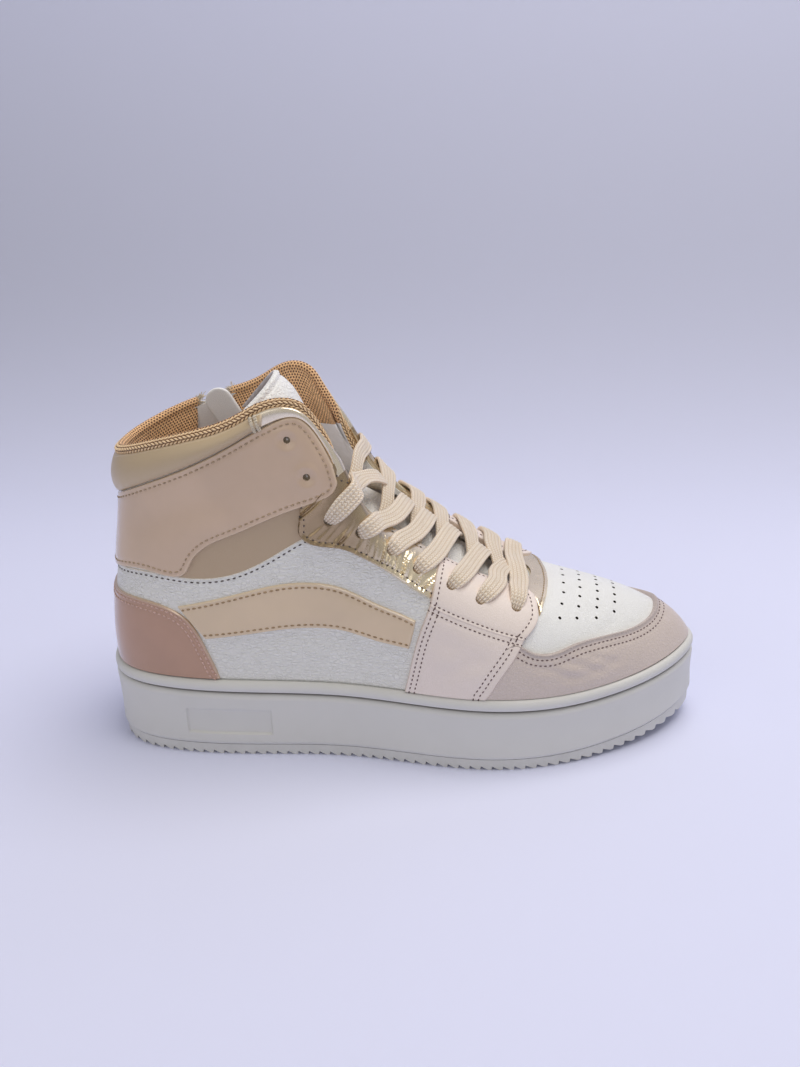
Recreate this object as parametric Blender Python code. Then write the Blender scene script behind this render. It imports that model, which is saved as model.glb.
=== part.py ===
"""High-top side-zip sneaker for the right foot, modelled empty and standing on its sole.

Frame: +X toe, -Y lateral (outer) side, +Y medial side, +Z up, the origin on the floor at the
middle of the sole's outline. Tables are in millimetres, and the meshes are written in metres.
"""

from collections import namedtuple

import bmesh
import bpy
import numpy as np

MM = 0.001
GAP = 0.3

# Driving sizes
SOLE_LENGTH = 265.0
HEEL_WALL = 38.9
TOE_WALL = 32.4
TOE_SPRING = 7.4
SPRING_START = 60.0
UPPER_INSET = 3.4
UPPER_WALL = 2.2
SKIRT = 9.0
OVERLAY = 1.2
OVERLAY_GAP = 0.45
EYESTAY_GAP = 1.0
TONGUE_THICKNESS = 3.0
INSOLE_THICKNESS = 4.0
OUTSOLE_THICKNESS = 5.0
TREAD_PITCH = 6.3
TREAD_LAND = 4.5
TREAD_DEPTH = 1.6
LACE_WIDTH = 7.2
LACE_THICKNESS = 2.0
LACE_LIFT = 4.2
LACE_EDGE_RISE = 1.4
LACE_SECTIONS = 8
ZIP_CHAIN = 2.2
SLIDER_UP = 92.0
SLIDER_PLATE = 2.0
BAIL_HEIGHT = 3.0
BAIL_HALF = 1.1
PULL_LENGTH = 24.0
PULL_THICKNESS = 1.1

# Plan of the sole: points in order from the heel back along the lateral side and round the toe
PlanPoint = namedtuple("PlanPoint", "x y")
SOLE_PLAN = [
    PlanPoint(-132.5, 0.0),
    PlanPoint(-123.5, -27.5),
    PlanPoint(-94.5, -38.7),
    PlanPoint(-20.0, -39.5),
    PlanPoint(45.0, -47.2),
    PlanPoint(100.0, -29.2),
    PlanPoint(126.5, -6.3),
    PlanPoint(132.5, 8.7),
    PlanPoint(125.2, 24.3),
    PlanPoint(96.5, 38.0),
    PlanPoint(40.0, 47.3),
    PlanPoint(-25.0, 35.3),
    PlanPoint(-94.5, 38.3),
    PlanPoint(-123.5, 28.0),
]

# Profile of the sole's wall from the outsole up: height above the floor line or below the lip
WallRing = namedtuple("WallRing", "from_lip height inset")
CUP_WALL = [
    WallRing(False, OUTSOLE_THICKNESS + GAP, 1.0),
    WallRing(False, OUTSOLE_THICKNESS + 1.8, 0.1),
    WallRing(True, -7.6, 0.0),
    WallRing(True, -6.3, 0.4),
    WallRing(True, -5.6, 1.5),
    WallRing(True, -4.6, 0.7),
    WallRing(True, -1.4, 0.8),
    WallRing(True, 0.0, 2.2),
    WallRing(True, 0.0, UPPER_INSET - GAP),
    WallRing(True, -SKIRT - 2 * GAP, UPPER_INSET - GAP),
]

# Sections of the upper. "along" is per cent of the way from heel back to toe tip round the sole.
# Each section rises from the sole to a point of the collar or throat edge: top_x, top_z and the
# distance out from the middle on either side. "back" is how far the medial edge lies behind the
# lateral one. "turn" is how far the section leans over at that edge, in
# degrees, "square" how full its shoulder is (2 is an ellipse), and "belly" and "waist" how far it
# swells low down and draws in high up.
Section = namedtuple("Section", "along top_x lateral medial back top_z turn square belly waist")
SECTIONS = [
    Section(0, -118.5, 0.0, 0.0, 0.0, 133.0, 16, 2.0, 0.8, 4.0),
    Section(5, -116.5, 10.5, 10.5, 0.0, 134.0, 16, 2.0, 0.8, 4.0),
    Section(10, -110.0, 20.0, 20.0, 0.0, 136.5, 17, 2.0, 0.8, 3.6),
    Section(16, -97.0, 28.0, 28.0, 0.0, 141.0, 18, 2.0, 0.8, 3.0),
    Section(23, -78.0, 32.0, 31.5, 0.0, 147.0, 22, 2.0, 0.8, 2.0),
    Section(30, -58.0, 31.5, 31.0, 1.5, 154.5, 28, 2.0, 0.6, 1.0),
    Section(36, -43.0, 30.0, 29.5, 4.0, 160.0, 32, 2.0, 0.4, 0.5),
    Section(40, -33.0, 28.8, 28.5, 6.0, 158.5, 36, 2.0, 0.2, 0.0),
    Section(44, -26.5, 27.8, 27.5, 6.6, 150.5, 40, 2.0, 0.0, 0.0),
    Section(49, -20.5, 27.0, 26.5, 5.4, 138.5, 44, 1.9, 0.0, 0.0),
    Section(54, -17.0, 26.0, 25.5, 2.8, 124.5, 48, 1.9, 0.0, 0.0),
    Section(58.5, -11.0, 23.5, 23.5, 0.8, 112.5, 52, 1.8, 0.0, 0.0),
    Section(64, 4.0, 20.5, 21.0, 0.0, 99.5, 57, 1.8, 0.0, 0.0),
    Section(70, 19.0, 18.5, 19.5, 0.0, 88.5, 62, 1.8, 0.0, 0.0),
    Section(76, 33.0, 16.5, 18.0, 0.0, 79.5, 68, 1.85, -0.2, 0.0),
    Section(82, 44.5, 13.5, 15.5, 0.0, 73.5, 75, 1.85, -0.8, 0.0),
    Section(88, 52.0, 8.5, 11.5, 0.0, 71.0, 82, 1.8, -1.8, 0.0),
    Section(94, 55.5, 3.0, 7.0, 0.0, 70.2, 86, 1.8, -2.5, 0.0),
    Section(100, 56.5, -2.0, 2.0, 0.0, 70.0, 88, 1.8, -2.5, 0.0),
]

# Sections of the tongue along its crest: half its width, and how far its edges lie below the crest
TongueRow = namedtuple("TongueRow", "x z half sag")
TONGUE = [
    TongueRow(53.0, 66.0, 20.0, 5.5),
    TongueRow(40.0, 74.5, 24.0, 6.2),
    TongueRow(26.0, 84.5, 26.5, 6.8),
    TongueRow(10.0, 95.5, 28.0, 7.2),
    TongueRow(-4.0, 106.5, 26.5, 7.6),
    TongueRow(-15.0, 118.5, 24.0, 8.8),
    TongueRow(-23.5, 131.5, 22.5, 10.8),
    TongueRow(-32.5, 146.5, 22.0, 13.5),
    TongueRow(-41.0, 157.5, 22.0, 16.0),
    TongueRow(-49.0, 165.0, 22.0, 18.0),
]

# Overlays of the upper. Each rib crosses the piece from its low edge to its high edge, as per cent
# along the sole (negative on the medial side) and per cent up the upper.
Rib = namedtuple("Rib", "low_along low_up high_along high_up")
TOE_CAP = [
    Rib(64.5, 1.2, 69.2, 31.5),
    Rib(67.0, 1.2, 70.6, 28.6),
    Rib(72.0, 1.2, 74.5, 29.4),
    Rib(80.0, 1.2, 81.6, 31.0),
    Rib(86.0, 1.2, 86.4, 29.0),
    Rib(90.5, 1.2, 90.6, 28.8),
    Rib(94.5, 1.2, 94.4, 31.0),
    Rib(97.3, 1.2, 97.2, 34.5),
    Rib(100.0, 1.2, 100.0, 36.5),
]
HEEL_COUNTER = [
    Rib(25.9, 1.2, 25.6, 4.0),
    Rib(24.5, 1.2, 24.3, 14.0),
    Rib(22.3, 1.2, 22.3, 25.0),
    Rib(20.0, 1.2, 20.0, 30.0),
    Rib(16.2, 1.2, 16.2, 33.7),
    Rib(12.0, 1.2, 12.0, 35.5),
    Rib(6.0, 1.2, 6.0, 36.3),
    Rib(0.0, 1.2, 0.0, 36.5),
]
FOREFOOT_PANEL = [
    Rib(51.9, 1.2, 63.4, 1.2),
    Rib(53.3, 16.0, 65.4, 14.0),
    Rib(55.6, 33.0, 68.4, 28.5),
    Rib(58.9, 50.0, 70.9, 40.5),
]
EYESTAY_FRONT = [
    Rib(59.2, 51.5, 71.3, 42.0),
    Rib(61.2, 62.0, 75.0, 55.0),
    Rib(63.6, 74.0, 78.6, 70.0),
    Rib(66.4, 86.0, 81.6, 84.0),
    Rib(69.6, 97.5, 83.4, 96.0),
]
EYESTAY_REAR = [
    Rib(38.9, 58.5, 40.2, 61.5),
    Rib(38.8, 53.5, 42.6, 67.0),
    Rib(40.8, 50.6, 45.6, 74.0),
    Rib(46.6, 54.0, 51.0, 92.0),
    Rib(51.0, 56.0, 56.0, 97.5),
    Rib(55.0, 56.0, 62.0, 97.5),
    Rib(58.2, 53.5, 68.6, 97.0),
]
THROAT_TAB = [
    Rib(71.0, 37.0, 71.8, 41.0),
    Rib(73.8, 48.0, 75.6, 54.5),
    Rib(80.3, 68.5, 82.6, 84.0),
    Rib(89.0, 83.5, 85.5, 96.0),
    Rib(94.5, 86.5, 94.0, 97.5),
    Rib(100.0, 87.5, 100.0, 97.5),
]
ANKLE_STRAP_FRONT = [
    Rib(46.8, 82.0, 46.5, 89.0),
    Rib(45.6, 76.5, 44.8, 93.0),
    Rib(43.6, 70.5, 42.0, 95.5),
    Rib(41.0, 65.5, 39.0, 95.5),
    Rib(38.0, 62.0, 36.0, 93.3),
]
ANKLE_STRAP_REAR = [
    Rib(33.0, 58.6, 32.0, 90.0),
    Rib(27.5, 56.3, 27.0, 87.2),
    Rib(24.6, 53.6, 24.4, 85.6),
    Rib(23.2, 50.0, 23.2, 85.0),
    Rib(22.4, 46.0, 21.8, 84.4),
    Rib(16.4, 46.7, 16.4, 82.2),
    Rib(8.0, 46.7, 8.0, 79.5),
    Rib(0.0, 46.7, 0.0, 78.5),
    Rib(-8.0, 46.7, -8.0, 79.5),
    Rib(-20.0, 46.7, -15.0, 81.7),
    Rib(-30.0, 46.7, -21.6, 84.3),
]
ANKLE_STRAP_MEDIAL = [Rib(36.5, 61.5, 30.0, 88.8), Rib(37.3, 61.8, 33.5, 91.0)]
COLLAR_PAD = [
    Rib(34.4, 92.0, 34.6, 97.5),
    Rib(30.0, 89.6, 30.0, 98.0),
    Rib(23.2, 86.0, 23.2, 98.0),
    Rib(16.4, 83.2, 16.4, 98.0),
    Rib(8.0, 80.5, 8.0, 98.0),
    Rib(0.0, 79.5, 0.0, 98.0),
    Rib(-8.0, 80.5, -8.0, 98.0),
    Rib(-14.0, 82.4, -13.5, 98.0),
    Rib(-20.6, 85.2, -18.2, 98.0),
]
SIDE_BAND = [
    Rib(24.4, 17.5, 20.6, 31.6),
    Rib(30.0, 18.5, 29.0, 34.5),
    Rib(38.0, 20.0, 37.6, 36.5),
    Rib(46.0, 21.0, 46.6, 37.5),
    Rib(53.2, 21.5, 55.4, 37.5),
]
ZIP_TAPE = [
    Rib(-18.7, 98.0, -22.9, 98.0),
    Rib(-22.5, 82.0, -26.7, 82.0),
    Rib(-26.7, 63.0, -30.9, 63.0),
    Rib(-30.7, 46.0, -34.9, 46.0),
    Rib(-34.2, 30.0, -38.4, 30.0),
    Rib(-37.6, 17.0, -41.8, 17.0),
]

# Profile of the knitted binding: out from the middle of the upper's wall, and above its edge
BindingPoint = namedtuple("BindingPoint", "out above")
BINDING_RING = [
    BindingPoint(-UPPER_WALL / 2, 1.0),
    BindingPoint(-1.8, 1.8),
    BindingPoint(0.0, 3.4),
    BindingPoint(1.8, 1.8),
    BindingPoint(UPPER_WALL / 2, 1.0),
]

# Lace holes from the toe end up, in the same shares
LaceHole = namedtuple("LaceHole", "along up")
LACE_HOLES = [
    LaceHole(74.1, 65),
    LaceHole(68.5, 65),
    LaceHole(64.9, 69),
    LaceHole(60.6, 71),
    LaceHole(56.4, 72),
    LaceHole(49.6, 67),
    LaceHole(43.6, 62),
]


def spline(knots, values, closed=False):
    """Cubic through values at ascending knots, natural at its ends or closed over one turn."""
    knots, values = np.asarray(knots, float), np.asarray(values, float)
    count = len(knots)
    step = np.diff(np.append(knots, knots[0] + 1.0)) if closed else np.diff(knots)
    system, load = np.eye(count), np.zeros_like(values)
    for i in range(count) if closed else range(1, count - 1):
        after = (i + 1) % count
        system[i] = 0
        system[i, i - 1] += step[i - 1]
        system[i, i] += 2 * (step[i - 1] + step[i])
        system[i, after] += step[i]
        rise_after = (values[after] - values[i]) / step[i]
        rise_before = (values[i] - values[i - 1]) / step[i - 1]
        load[i] = 6 * (rise_after - rise_before)
    bend = np.linalg.solve(system, load)

    def at(where):
        where = np.asarray(where, float)
        if closed:
            where = np.mod(where - knots[0], 1.0) + knots[0]
        i = np.clip(np.searchsorted(knots, where, side="right") - 1, 0, len(step) - 1)
        j = (i + 1) % count
        width = step[i][..., None]
        b = (where - knots[i])[..., None] / width
        a = 1 - b
        curve = (a**3 - a) * bend[i] + (b**3 - b) * bend[j]
        return a * values[i] + b * values[j] + curve * width**2 / 6

    return at


def chord_knots(points):
    lengths = np.linalg.norm(np.diff(points, axis=0), axis=1)
    return np.append(0, np.cumsum(lengths)) / lengths.sum()


def unit(vectors):
    return vectors / np.linalg.norm(vectors, axis=-1, keepdims=True)


def plan_of_sole():
    """Dense outline: turn (0 heel, 0.5 toe tip, 1 heel again), points and outward normals."""
    points = np.array(SOLE_PLAN)
    knots = chord_knots(np.vstack([points, points[:1]]))[:-1]
    dense = spline(knots, points, closed=True)(np.linspace(0, 1, 2401))
    low, high = dense.min(axis=0), dense.max(axis=0)
    dense = dense - (low + high) / 2
    dense[:, 0] *= SOLE_LENGTH / (high[0] - low[0])
    along = np.append(0, np.cumsum(np.linalg.norm(np.diff(dense, axis=0), axis=1)))
    tip = along[dense[:, 0].argmax()]
    turn = np.where(along < tip, along / tip, 1 + (along - tip) / (along[-1] - tip)) / 2
    run = np.gradient(dense, axis=0)
    normal = np.stack([run[:, 1], -run[:, 0]], axis=1)
    normal[[0, -1]] = (-1, 0)
    return turn, dense, unit(normal)


PLAN_TURN, PLAN_POINTS, PLAN_NORMALS = plan_of_sole()


def plan_at(turn, inset=0.0):
    """Points of the sole's outline, moved in by inset, and the outward directions there."""
    turn = np.mod(np.asarray(turn, float), 1.0)
    columns = (*PLAN_POINTS.T, *PLAN_NORMALS.T)
    picked = [np.interp(turn, PLAN_TURN, column) for column in columns]
    point, normal = np.stack(picked[:2], -1), unit(np.stack(picked[2:], -1))
    return point - normal * np.asarray(inset)[..., None], normal


def spring_at(x):
    return TOE_SPRING * np.clip((x - SPRING_START) / (SOLE_LENGTH / 2 - SPRING_START), 0, 1) ** 2


def lip_at(x):
    """Height of the top of the sole's wall."""
    share = x / SOLE_LENGTH + 0.5
    return HEEL_WALL + (TOE_WALL - HEEL_WALL) * share + spring_at(x)


def section_columns():
    lateral = [(s.along / 200, s.top_x, -s.lateral, *s[5:]) for s in SECTIONS]
    others = SECTIONS[-2:0:-1]
    medial = [(1 - s.along / 200, s.top_x - s.back, s.medial, *s[5:]) for s in others]
    table = np.array(lateral + medial)
    return spline(table[:, 0], table[:, 1:], closed=True)


SECTION_AT = section_columns()


def shell_point(turn, up):
    """Outer face of the upper. up: 0 at the sole's lip, 1 at the collar or throat edge, and below
    0 down inside the sole's cup."""
    turn, up = np.broadcast_arrays(np.asarray(turn, float), np.asarray(up, float))
    foot, normal = plan_at(turn, UPPER_INSET)
    foot_z = lip_at(foot[..., 0])
    top_x, top_y, top_z, lean, square, belly, waist = np.moveaxis(SECTION_AT(turn), -1, 0)
    rise = np.clip(up, 0, 1)
    end = np.radians(lean)
    power = 2 / square
    across = (1 - np.cos(rise * end) ** power) / (1 - np.cos(end) ** power)
    height = np.sin(rise * end) ** power / np.sin(end) ** power
    swell = 6.75 * (belly * rise * (1 - rise) ** 2 - waist * rise**2 * (1 - rise))
    x = foot[..., 0] + (top_x - foot[..., 0]) * across + normal[..., 0] * swell
    y = foot[..., 1] + (top_y - foot[..., 1]) * across + normal[..., 1] * swell
    z = foot_z + (top_z - foot_z) * height + np.minimum(up, 0) * SKIRT
    return np.stack([x, y, z], -1)


def shell_normal(turn, up):
    small = 1e-3
    up = np.clip(up, -1 + small, 1 - small)
    by_turn = shell_point(turn + small, up) - shell_point(turn - small, up)
    by_up = shell_point(turn, up + small) - shell_point(turn, up - small)
    return unit(np.cross(by_turn, by_up))


def shell(turn, up, lift=0.0):
    """The upper's outer face moved out by lift."""
    turn, up = np.broadcast_arrays(np.asarray(turn, float), np.asarray(up, float))
    return shell_point(turn, up) + shell_normal(turn, up) * np.asarray(lift)[..., None]


TONGUE_ROWS = np.array(TONGUE)
TONGUE_KNOTS = chord_knots(TONGUE_ROWS[:, :2])
TONGUE_AT = spline(TONGUE_KNOTS, TONGUE_ROWS)


def tongue_point(share, side):
    """Outer face of the tongue: share 0 at its toe end to 1 at its top, side -1 to 1 across."""
    small = 1e-3
    share, side = np.broadcast_arrays(np.asarray(share, float), np.asarray(side, float))
    x, z, half, sag = np.moveaxis(TONGUE_AT(share), -1, 0)
    crest = unit((TONGUE_AT(share + small) - TONGUE_AT(share - small))[..., :2])
    drop = sag * side**2
    return np.stack([x - crest[..., 1] * drop, half * side, z + crest[..., 0] * drop], -1)


def tongue(share, side, lift=0.0):
    small = 1e-3
    share, side = np.broadcast_arrays(np.asarray(share, float), np.asarray(side, float))
    by_share = tongue_point(share + small, side) - tongue_point(share - small, side)
    by_side = tongue_point(share, side + small) - tongue_point(share, side - small)
    normal = unit(np.cross(by_share, by_side))
    return tongue_point(share, side) - normal * np.asarray(lift)[..., None]


def material(name, colour, roughness, metallic=0.0):
    made = bpy.data.materials.new(name)
    made.use_nodes = True
    shader = made.node_tree.nodes["Principled BSDF"]
    shader.inputs["Base Color"].default_value = (*colour, 1)
    shader.inputs["Roughness"].default_value = roughness
    shader.inputs["Metallic"].default_value = metallic
    made.diffuse_color = (*colour, 1)
    return made


def object_of(name, points, faces, finish, origin=(0, 0, 0)):
    """An object from points in millimetres, its origin at the given point."""
    mesh = bpy.data.meshes.new(name)
    mesh.from_pydata(((np.asarray(points) - origin) * MM).tolist(), [], faces)
    mesh.materials.append(finish)
    work = bmesh.new()
    work.from_mesh(mesh)
    bmesh.ops.recalc_face_normals(work, faces=work.faces)
    work.to_mesh(mesh)
    work.free()
    mesh.shade_smooth()
    mesh.set_sharp_from_angle(angle=0.6)
    made = bpy.data.objects.new(name, mesh)
    made.location = np.asarray(origin) * MM
    bpy.context.scene.collection.objects.link(made)
    return made


def ring_faces(rings, around, close_rings=False):
    """Quads between rings of points, each ring closed on itself."""
    faces = []
    for r in range(rings if close_rings else rings - 1):
        low, high = r * around, (r + 1) % rings * around
        for i in range(around):
            j = (i + 1) % around
            faces.append((low + i, low + j, high + j, high + i))
    return faces


def ladder_faces(first, around):
    """Closes a ring with strips that run across it from one side of the shoe to the other."""
    half = around // 2
    faces = [(first, first + 1, first + around - 1)]
    for i in range(1, half - 1):
        faces.append((first + i, first + i + 1, first + around - i - 1, first + around - i))
    return faces + [(first + half - 1, first + half, first + half + 1)]


def slab(name, outer, inner, finish):
    """A closed sheet between two grids of points."""
    rows, columns = outer.shape[:2]
    points = np.concatenate([outer.reshape(-1, 3), inner.reshape(-1, 3)])
    index = np.arange(rows * columns).reshape(rows, columns)
    under = index + rows * columns
    faces = []
    for grid in (index, under):
        for r in range(rows - 1):
            for c in range(columns - 1):
                faces.append((grid[r, c], grid[r, c + 1], grid[r + 1, c + 1], grid[r + 1, c]))
    edges = [(index[r, c], under[r, c]) for r, c in border_of(rows, columns)]
    for (a, b), (c, d) in zip(edges, edges[1:] + edges[:1]):
        faces.append((a, b, d, c))
    return object_of(name, points, [tuple(int(i) for i in face) for face in faces], finish)


def border_of(rows, columns):
    there = [(0, c) for c in range(columns)] + [(r, columns - 1) for r in range(1, rows)]
    back = [(rows - 1, c) for c in range(columns - 2, -1, -1)]
    return there + back + [(r, 0) for r in range(rows - 2, 0, -1)]


def mirrored(ribs):
    return [Rib(-r.low_along, r.low_up, -r.high_along, r.high_up) for r in ribs]


def both_sides(ribs, toe=False):
    """Ribs that end at the heel back or toe tip, carried on round the other side."""
    wrap = 200 if toe else 0
    other = [Rib(wrap - r.low_along, r.low_up, wrap - r.high_along, r.high_up) for r in ribs]
    return ribs + other[-2::-1]


def overlay(name, ribs, finish, lengthwise, across, thickness=OVERLAY, crown=0.0, gap=OVERLAY_GAP):
    """A piece of leather on the upper, cut between two forms of the upper's own face."""
    table = np.array(ribs)
    knots = chord_knots(table * (3.1, 1.0, 3.1, 1.0))
    line = spline(knots, table)(np.linspace(0, 1, lengthwise + 1))
    share = np.linspace(0, 1, across + 1)[None, :]
    turn = (line[:, 0:1] * (1 - share) + line[:, 2:3] * share) / 200
    up = (line[:, 1:2] * (1 - share) + line[:, 3:4] * share) / 100
    low = np.full_like(turn, gap)
    high = low + thickness + crown * np.sin(np.pi * share) ** 0.7
    return slab(name, shell(turn, up, high), shell(turn, up, low), finish)


def upper_columns():
    """Shares along of the upper's columns of points on one side, closest round the ankle."""
    heel, ankle, toe = (0, 34, 11), (34, 64, 15), (64, 100, 11)
    return np.concatenate([np.linspace(*stretch, endpoint=False) for stretch in (heel, ankle, toe)])


def make_upper(finish):
    """The hollow upper: outer wall up to the edge, then the inner wall down again."""
    half = upper_columns()
    turns = np.concatenate([half, 200 - np.append(half[1:], 100)[::-1]]) / 200
    ups = np.array([-1.0, 0.0, 0.09, 0.19, 0.3, 0.42, 0.54, 0.66, 0.78, 0.89, 1.0])
    outer = [shell(turns, up) for up in ups]
    inner = [shell(turns, up, -UPPER_WALL) for up in ups[::-1]]
    faces = ring_faces(len(outer + inner), len(turns), close_rings=True)
    return object_of("upper", np.concatenate(outer + inner), faces, finish)


def make_cupsole(finish):
    """The cup: its outer wall and rolled lip, then down inside to the floor the upper stands on."""
    turns = np.arange(64) / 64
    rings = []
    for row in CUP_WALL:
        point, _ = plan_at(turns, row.inset)
        base = lip_at(point[:, 0]) if row.from_lip else spring_at(point[:, 0])
        rings.append(np.column_stack([point, base + row.height]))
    faces = ring_faces(len(rings), len(turns))
    faces += ladder_faces(0, len(turns)) + ladder_faces((len(rings) - 1) * len(turns), len(turns))
    return object_of("cupsole", np.concatenate(rings), faces, finish)


def make_insole(finish):
    turns = np.arange(60) / 60
    point, _ = plan_at(turns, UPPER_INSET + UPPER_WALL + 2 * GAP)
    rings = []
    for height in (GAP - SKIRT - 2 * GAP, GAP - SKIRT - 2 * GAP + INSOLE_THICKNESS):
        rings.append(np.column_stack([point, lip_at(point[:, 0]) + height]))
    faces = ring_faces(2, len(turns)) + ladder_faces(0, len(turns))
    faces += ladder_faces(len(turns), len(turns))
    return object_of("insole", np.concatenate(rings), faces, finish)


def make_outsole(finish):
    """The tread layer, cut across by saw-tooth grooves that show along its edge."""
    inset = 1.0
    half = SOLE_LENGTH / 2 - inset
    teeth = np.arange(-half + TREAD_PITCH, half - TREAD_PITCH, TREAD_PITCH)
    ends = np.array([0.2, 0.8, 1.8, 3.2, 4.8])
    stations = [(x, 0.0) for x in np.concatenate([-half + ends, half - ends])]
    for x in teeth:
        stations += [(x, 0.0), (x + TREAD_LAND, 0.0), (x + TREAD_LAND + 0.4, TREAD_DEPTH)]
    stations.sort()
    x = np.array([s[0] for s in stations])
    notch = np.array([s[1] for s in stations])
    turn = np.linspace(0, 0.5, 1500)
    sides = []
    for side in (turn, 1 - turn):
        point, _ = plan_at(side, inset)
        order = np.argsort(point[:, 0])
        sides.append(np.interp(x, point[order, 0], point[order, 1]))
    low, high = spring_at(x) + notch, spring_at(x) + OUTSOLE_THICKNESS
    corners = [(sides[0], low), (sides[1], low), (sides[1], high), (sides[0], high)]
    points = np.stack([np.column_stack([x, y, z]) for y, z in corners], axis=1).reshape(-1, 3)
    faces = ring_faces(len(x), 4)
    last = 4 * (len(x) - 1)
    faces += [(0, 1, 2, 3), (last, last + 1, last + 2, last + 3)]
    return object_of("outsole", points, faces, finish)


def make_tongue(finish):
    share = np.linspace(0, 1, 14)[:, None]
    side = np.linspace(-1, 1, 9)[None, :]
    return slab("tongue", tongue(share, side), tongue(share, side, -TONGUE_THICKNESS), finish)


def make_binding(name, first, last, finish):
    """The knitted binding rolled over the collar edge, from one share along to another."""
    columns = upper_columns()
    along = np.concatenate([-columns[:0:-1], columns])
    turn = along[(along > first) & (along < last)] / 200
    edge = shell_point(turn + 1e-3, 1.0) - shell_point(turn - 1e-3, 1.0)
    above = unit(np.cross(shell_normal(turn, np.ones_like(turn)), edge))
    rings = [shell(turn, 1.0, p.out - UPPER_WALL / 2) + above * p.above for p in BINDING_RING]
    sides, last = len(rings), len(rings) * (len(turn) - 1)
    faces = ring_faces(len(turn), sides)
    faces += [tuple(range(sides)), tuple(range(last, last + sides))]
    return object_of(name, np.stack(rings, axis=1).reshape(-1, 3), faces, finish)


def strip(name, path, finish):
    """A flat lace through (point, outward direction) pairs."""
    points, outs = (np.array(column) for column in zip(*path))
    knots = chord_knots(points)
    share = np.linspace(0, 1, LACE_SECTIONS)
    centre, out = spline(knots, points)(share), unit(spline(knots, outs)(share))
    wide = unit(np.cross(np.gradient(centre, axis=0), out)) * LACE_WIDTH / 2
    thick = out * LACE_THICKNESS / 2
    top, bottom = centre + thick, centre - thick
    corners = [top + wide, top - wide, bottom - wide, bottom + wide]
    last = 4 * (LACE_SECTIONS - 1)
    faces = ring_faces(LACE_SECTIONS, 4) + [(0, 1, 2, 3), (last, last + 1, last + 2, last + 3)]
    return object_of(name, np.stack(corners, axis=1).reshape(-1, 3), faces, finish)


def edge_along(x):
    """Share along of the throat edge at this distance along the shoe."""
    along = np.linspace(54, 100, 400)
    return np.interp(x, shell_point(along / 200, 1.0)[:, 0], along)


def tongue_share(x):
    share = np.linspace(0, 1, 400)
    return np.interp(-x, -tongue_point(share, 0.0)[:, 0], share)


def on_shell(along, up, lift):
    turn, up = np.array(along / 200), np.array(up / 100)
    return shell(turn, up, lift), shell_normal(turn, up)


def on_tongue(x, side, lift):
    share = tongue_share(x)
    low, high = tongue(share, side), tongue(share, side, lift)
    return high, unit(high - low)


def hole_x(hole, sign):
    return shell_point(sign * hole.along / 200, hole.up / 100)[0]


def over_eyestay(hole, sign, drift):
    """The lace's way from a hole to the throat edge, drifting toewards, on one side of the shoe."""
    along = np.linspace(hole.along, edge_along(hole_x(hole, sign) + drift), 4)
    up = np.linspace(hole.up, 97, 4)
    lift = LACE_LIFT + np.linspace(0, LACE_EDGE_RISE, 4)
    return [on_shell(sign * a, u, rise) for a, u, rise in zip(along, up, lift)]


def lace_path(hole, sign, lift):
    """From a hole over the eyestay and the tongue, to dip towards the other edge."""
    middle = (hole_x(hole, 1) + hole_x(hole, -1)) / 2
    crest = on_tongue(middle + 5.0, 0.0, LACE_LIFT + 0.5 + lift)
    dip = on_tongue(middle + 7.0, sign * 0.42, LACE_THICKNESS / 2 + 2 * GAP)
    return over_eyestay(hole, sign, 2.0) + [crest, dip]


def make_lace_bar(hole, finish):
    """The first run of the lace, straight across the toe end of the throat."""
    lateral, medial = (over_eyestay(hole, sign, 1.5) for sign in (1, -1))
    middle = (lateral[-1][0] + medial[-1][0]) / 2 + (0, 0, 1.5)
    strip("lace_bar", lateral + [(middle, np.array((0.3, 0, 1)))] + medial[::-1], finish)


def make_lace_cross(name, hole, finish):
    """Two runs of lace that cross over the tongue, the lateral one on top."""
    over = strip(name, lace_path(hole, 1, 0.9), finish)
    under = strip(name + "_under", lace_path(hole, -1, 0.0), finish)
    under.hide_render = True
    under.display_type = "WIRE"
    join = over.modifiers.new("join", "BOOLEAN")
    join.operation = "UNION"
    join.object = under


def zip_frame():
    """Point on the zip under its slider, and the directions down the zip, across it and out."""
    middle = [np.mean([[r.low_along, r.low_up], [r.high_along, r.high_up]], axis=0) for r in ZIP_TAPE]
    up = np.array([m[1] for m in middle[::-1]])
    along = np.array([m[0] for m in middle[::-1]])
    place = shell(np.interp(SLIDER_UP, up, along) / 200, SLIDER_UP / 100, GAP + ZIP_CHAIN + GAP)
    below = SLIDER_UP - 8
    lower = shell(np.interp(below, up, along) / 200, below / 100, GAP + ZIP_CHAIN + GAP)
    out = shell_normal(np.interp(SLIDER_UP, up, along) / 200, SLIDER_UP / 100)
    down = unit(lower - place)
    across = unit(np.cross(out, down))
    return place, np.array([down, across, unit(np.cross(down, across))])


def prism(name, outline, low, high, frame, finish, side_view=False, hole=(), origin=(0, 0, 0)):
    """Extrudes an outline, drawn down-by-across or down-by-out, with an optional window whose
    four corners face the outline's first four."""
    place, axes = frame
    flat = np.array(list(outline) + list(hole), float)
    count, window = len(outline), len(hole)
    rings = []
    for level in (low, high):
        third = np.full(len(flat), level)
        order = (flat[:, 0], third, flat[:, 1]) if side_view else (flat[:, 0], flat[:, 1], third)
        rings.append(place + np.column_stack(order) @ axes)
    total = count + window
    faces = []
    for base in (0, total):
        if window:
            for i in range(4):
                j = (i + 1) % 4
                faces.append((base + i, base + j, base + count + j, base + count + i))
            faces.append((base + 3, *range(base + 4, base + count), base))
        else:
            faces.append(tuple(range(base, base + count)))
    for loop in (range(count), range(count, total)):
        loop = list(loop)
        for i, j in zip(loop, loop[1:] + loop[:1]):
            faces.append((i, j, j + total, i + total))
    return object_of(name, np.concatenate(rings), faces, finish, origin)


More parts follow.
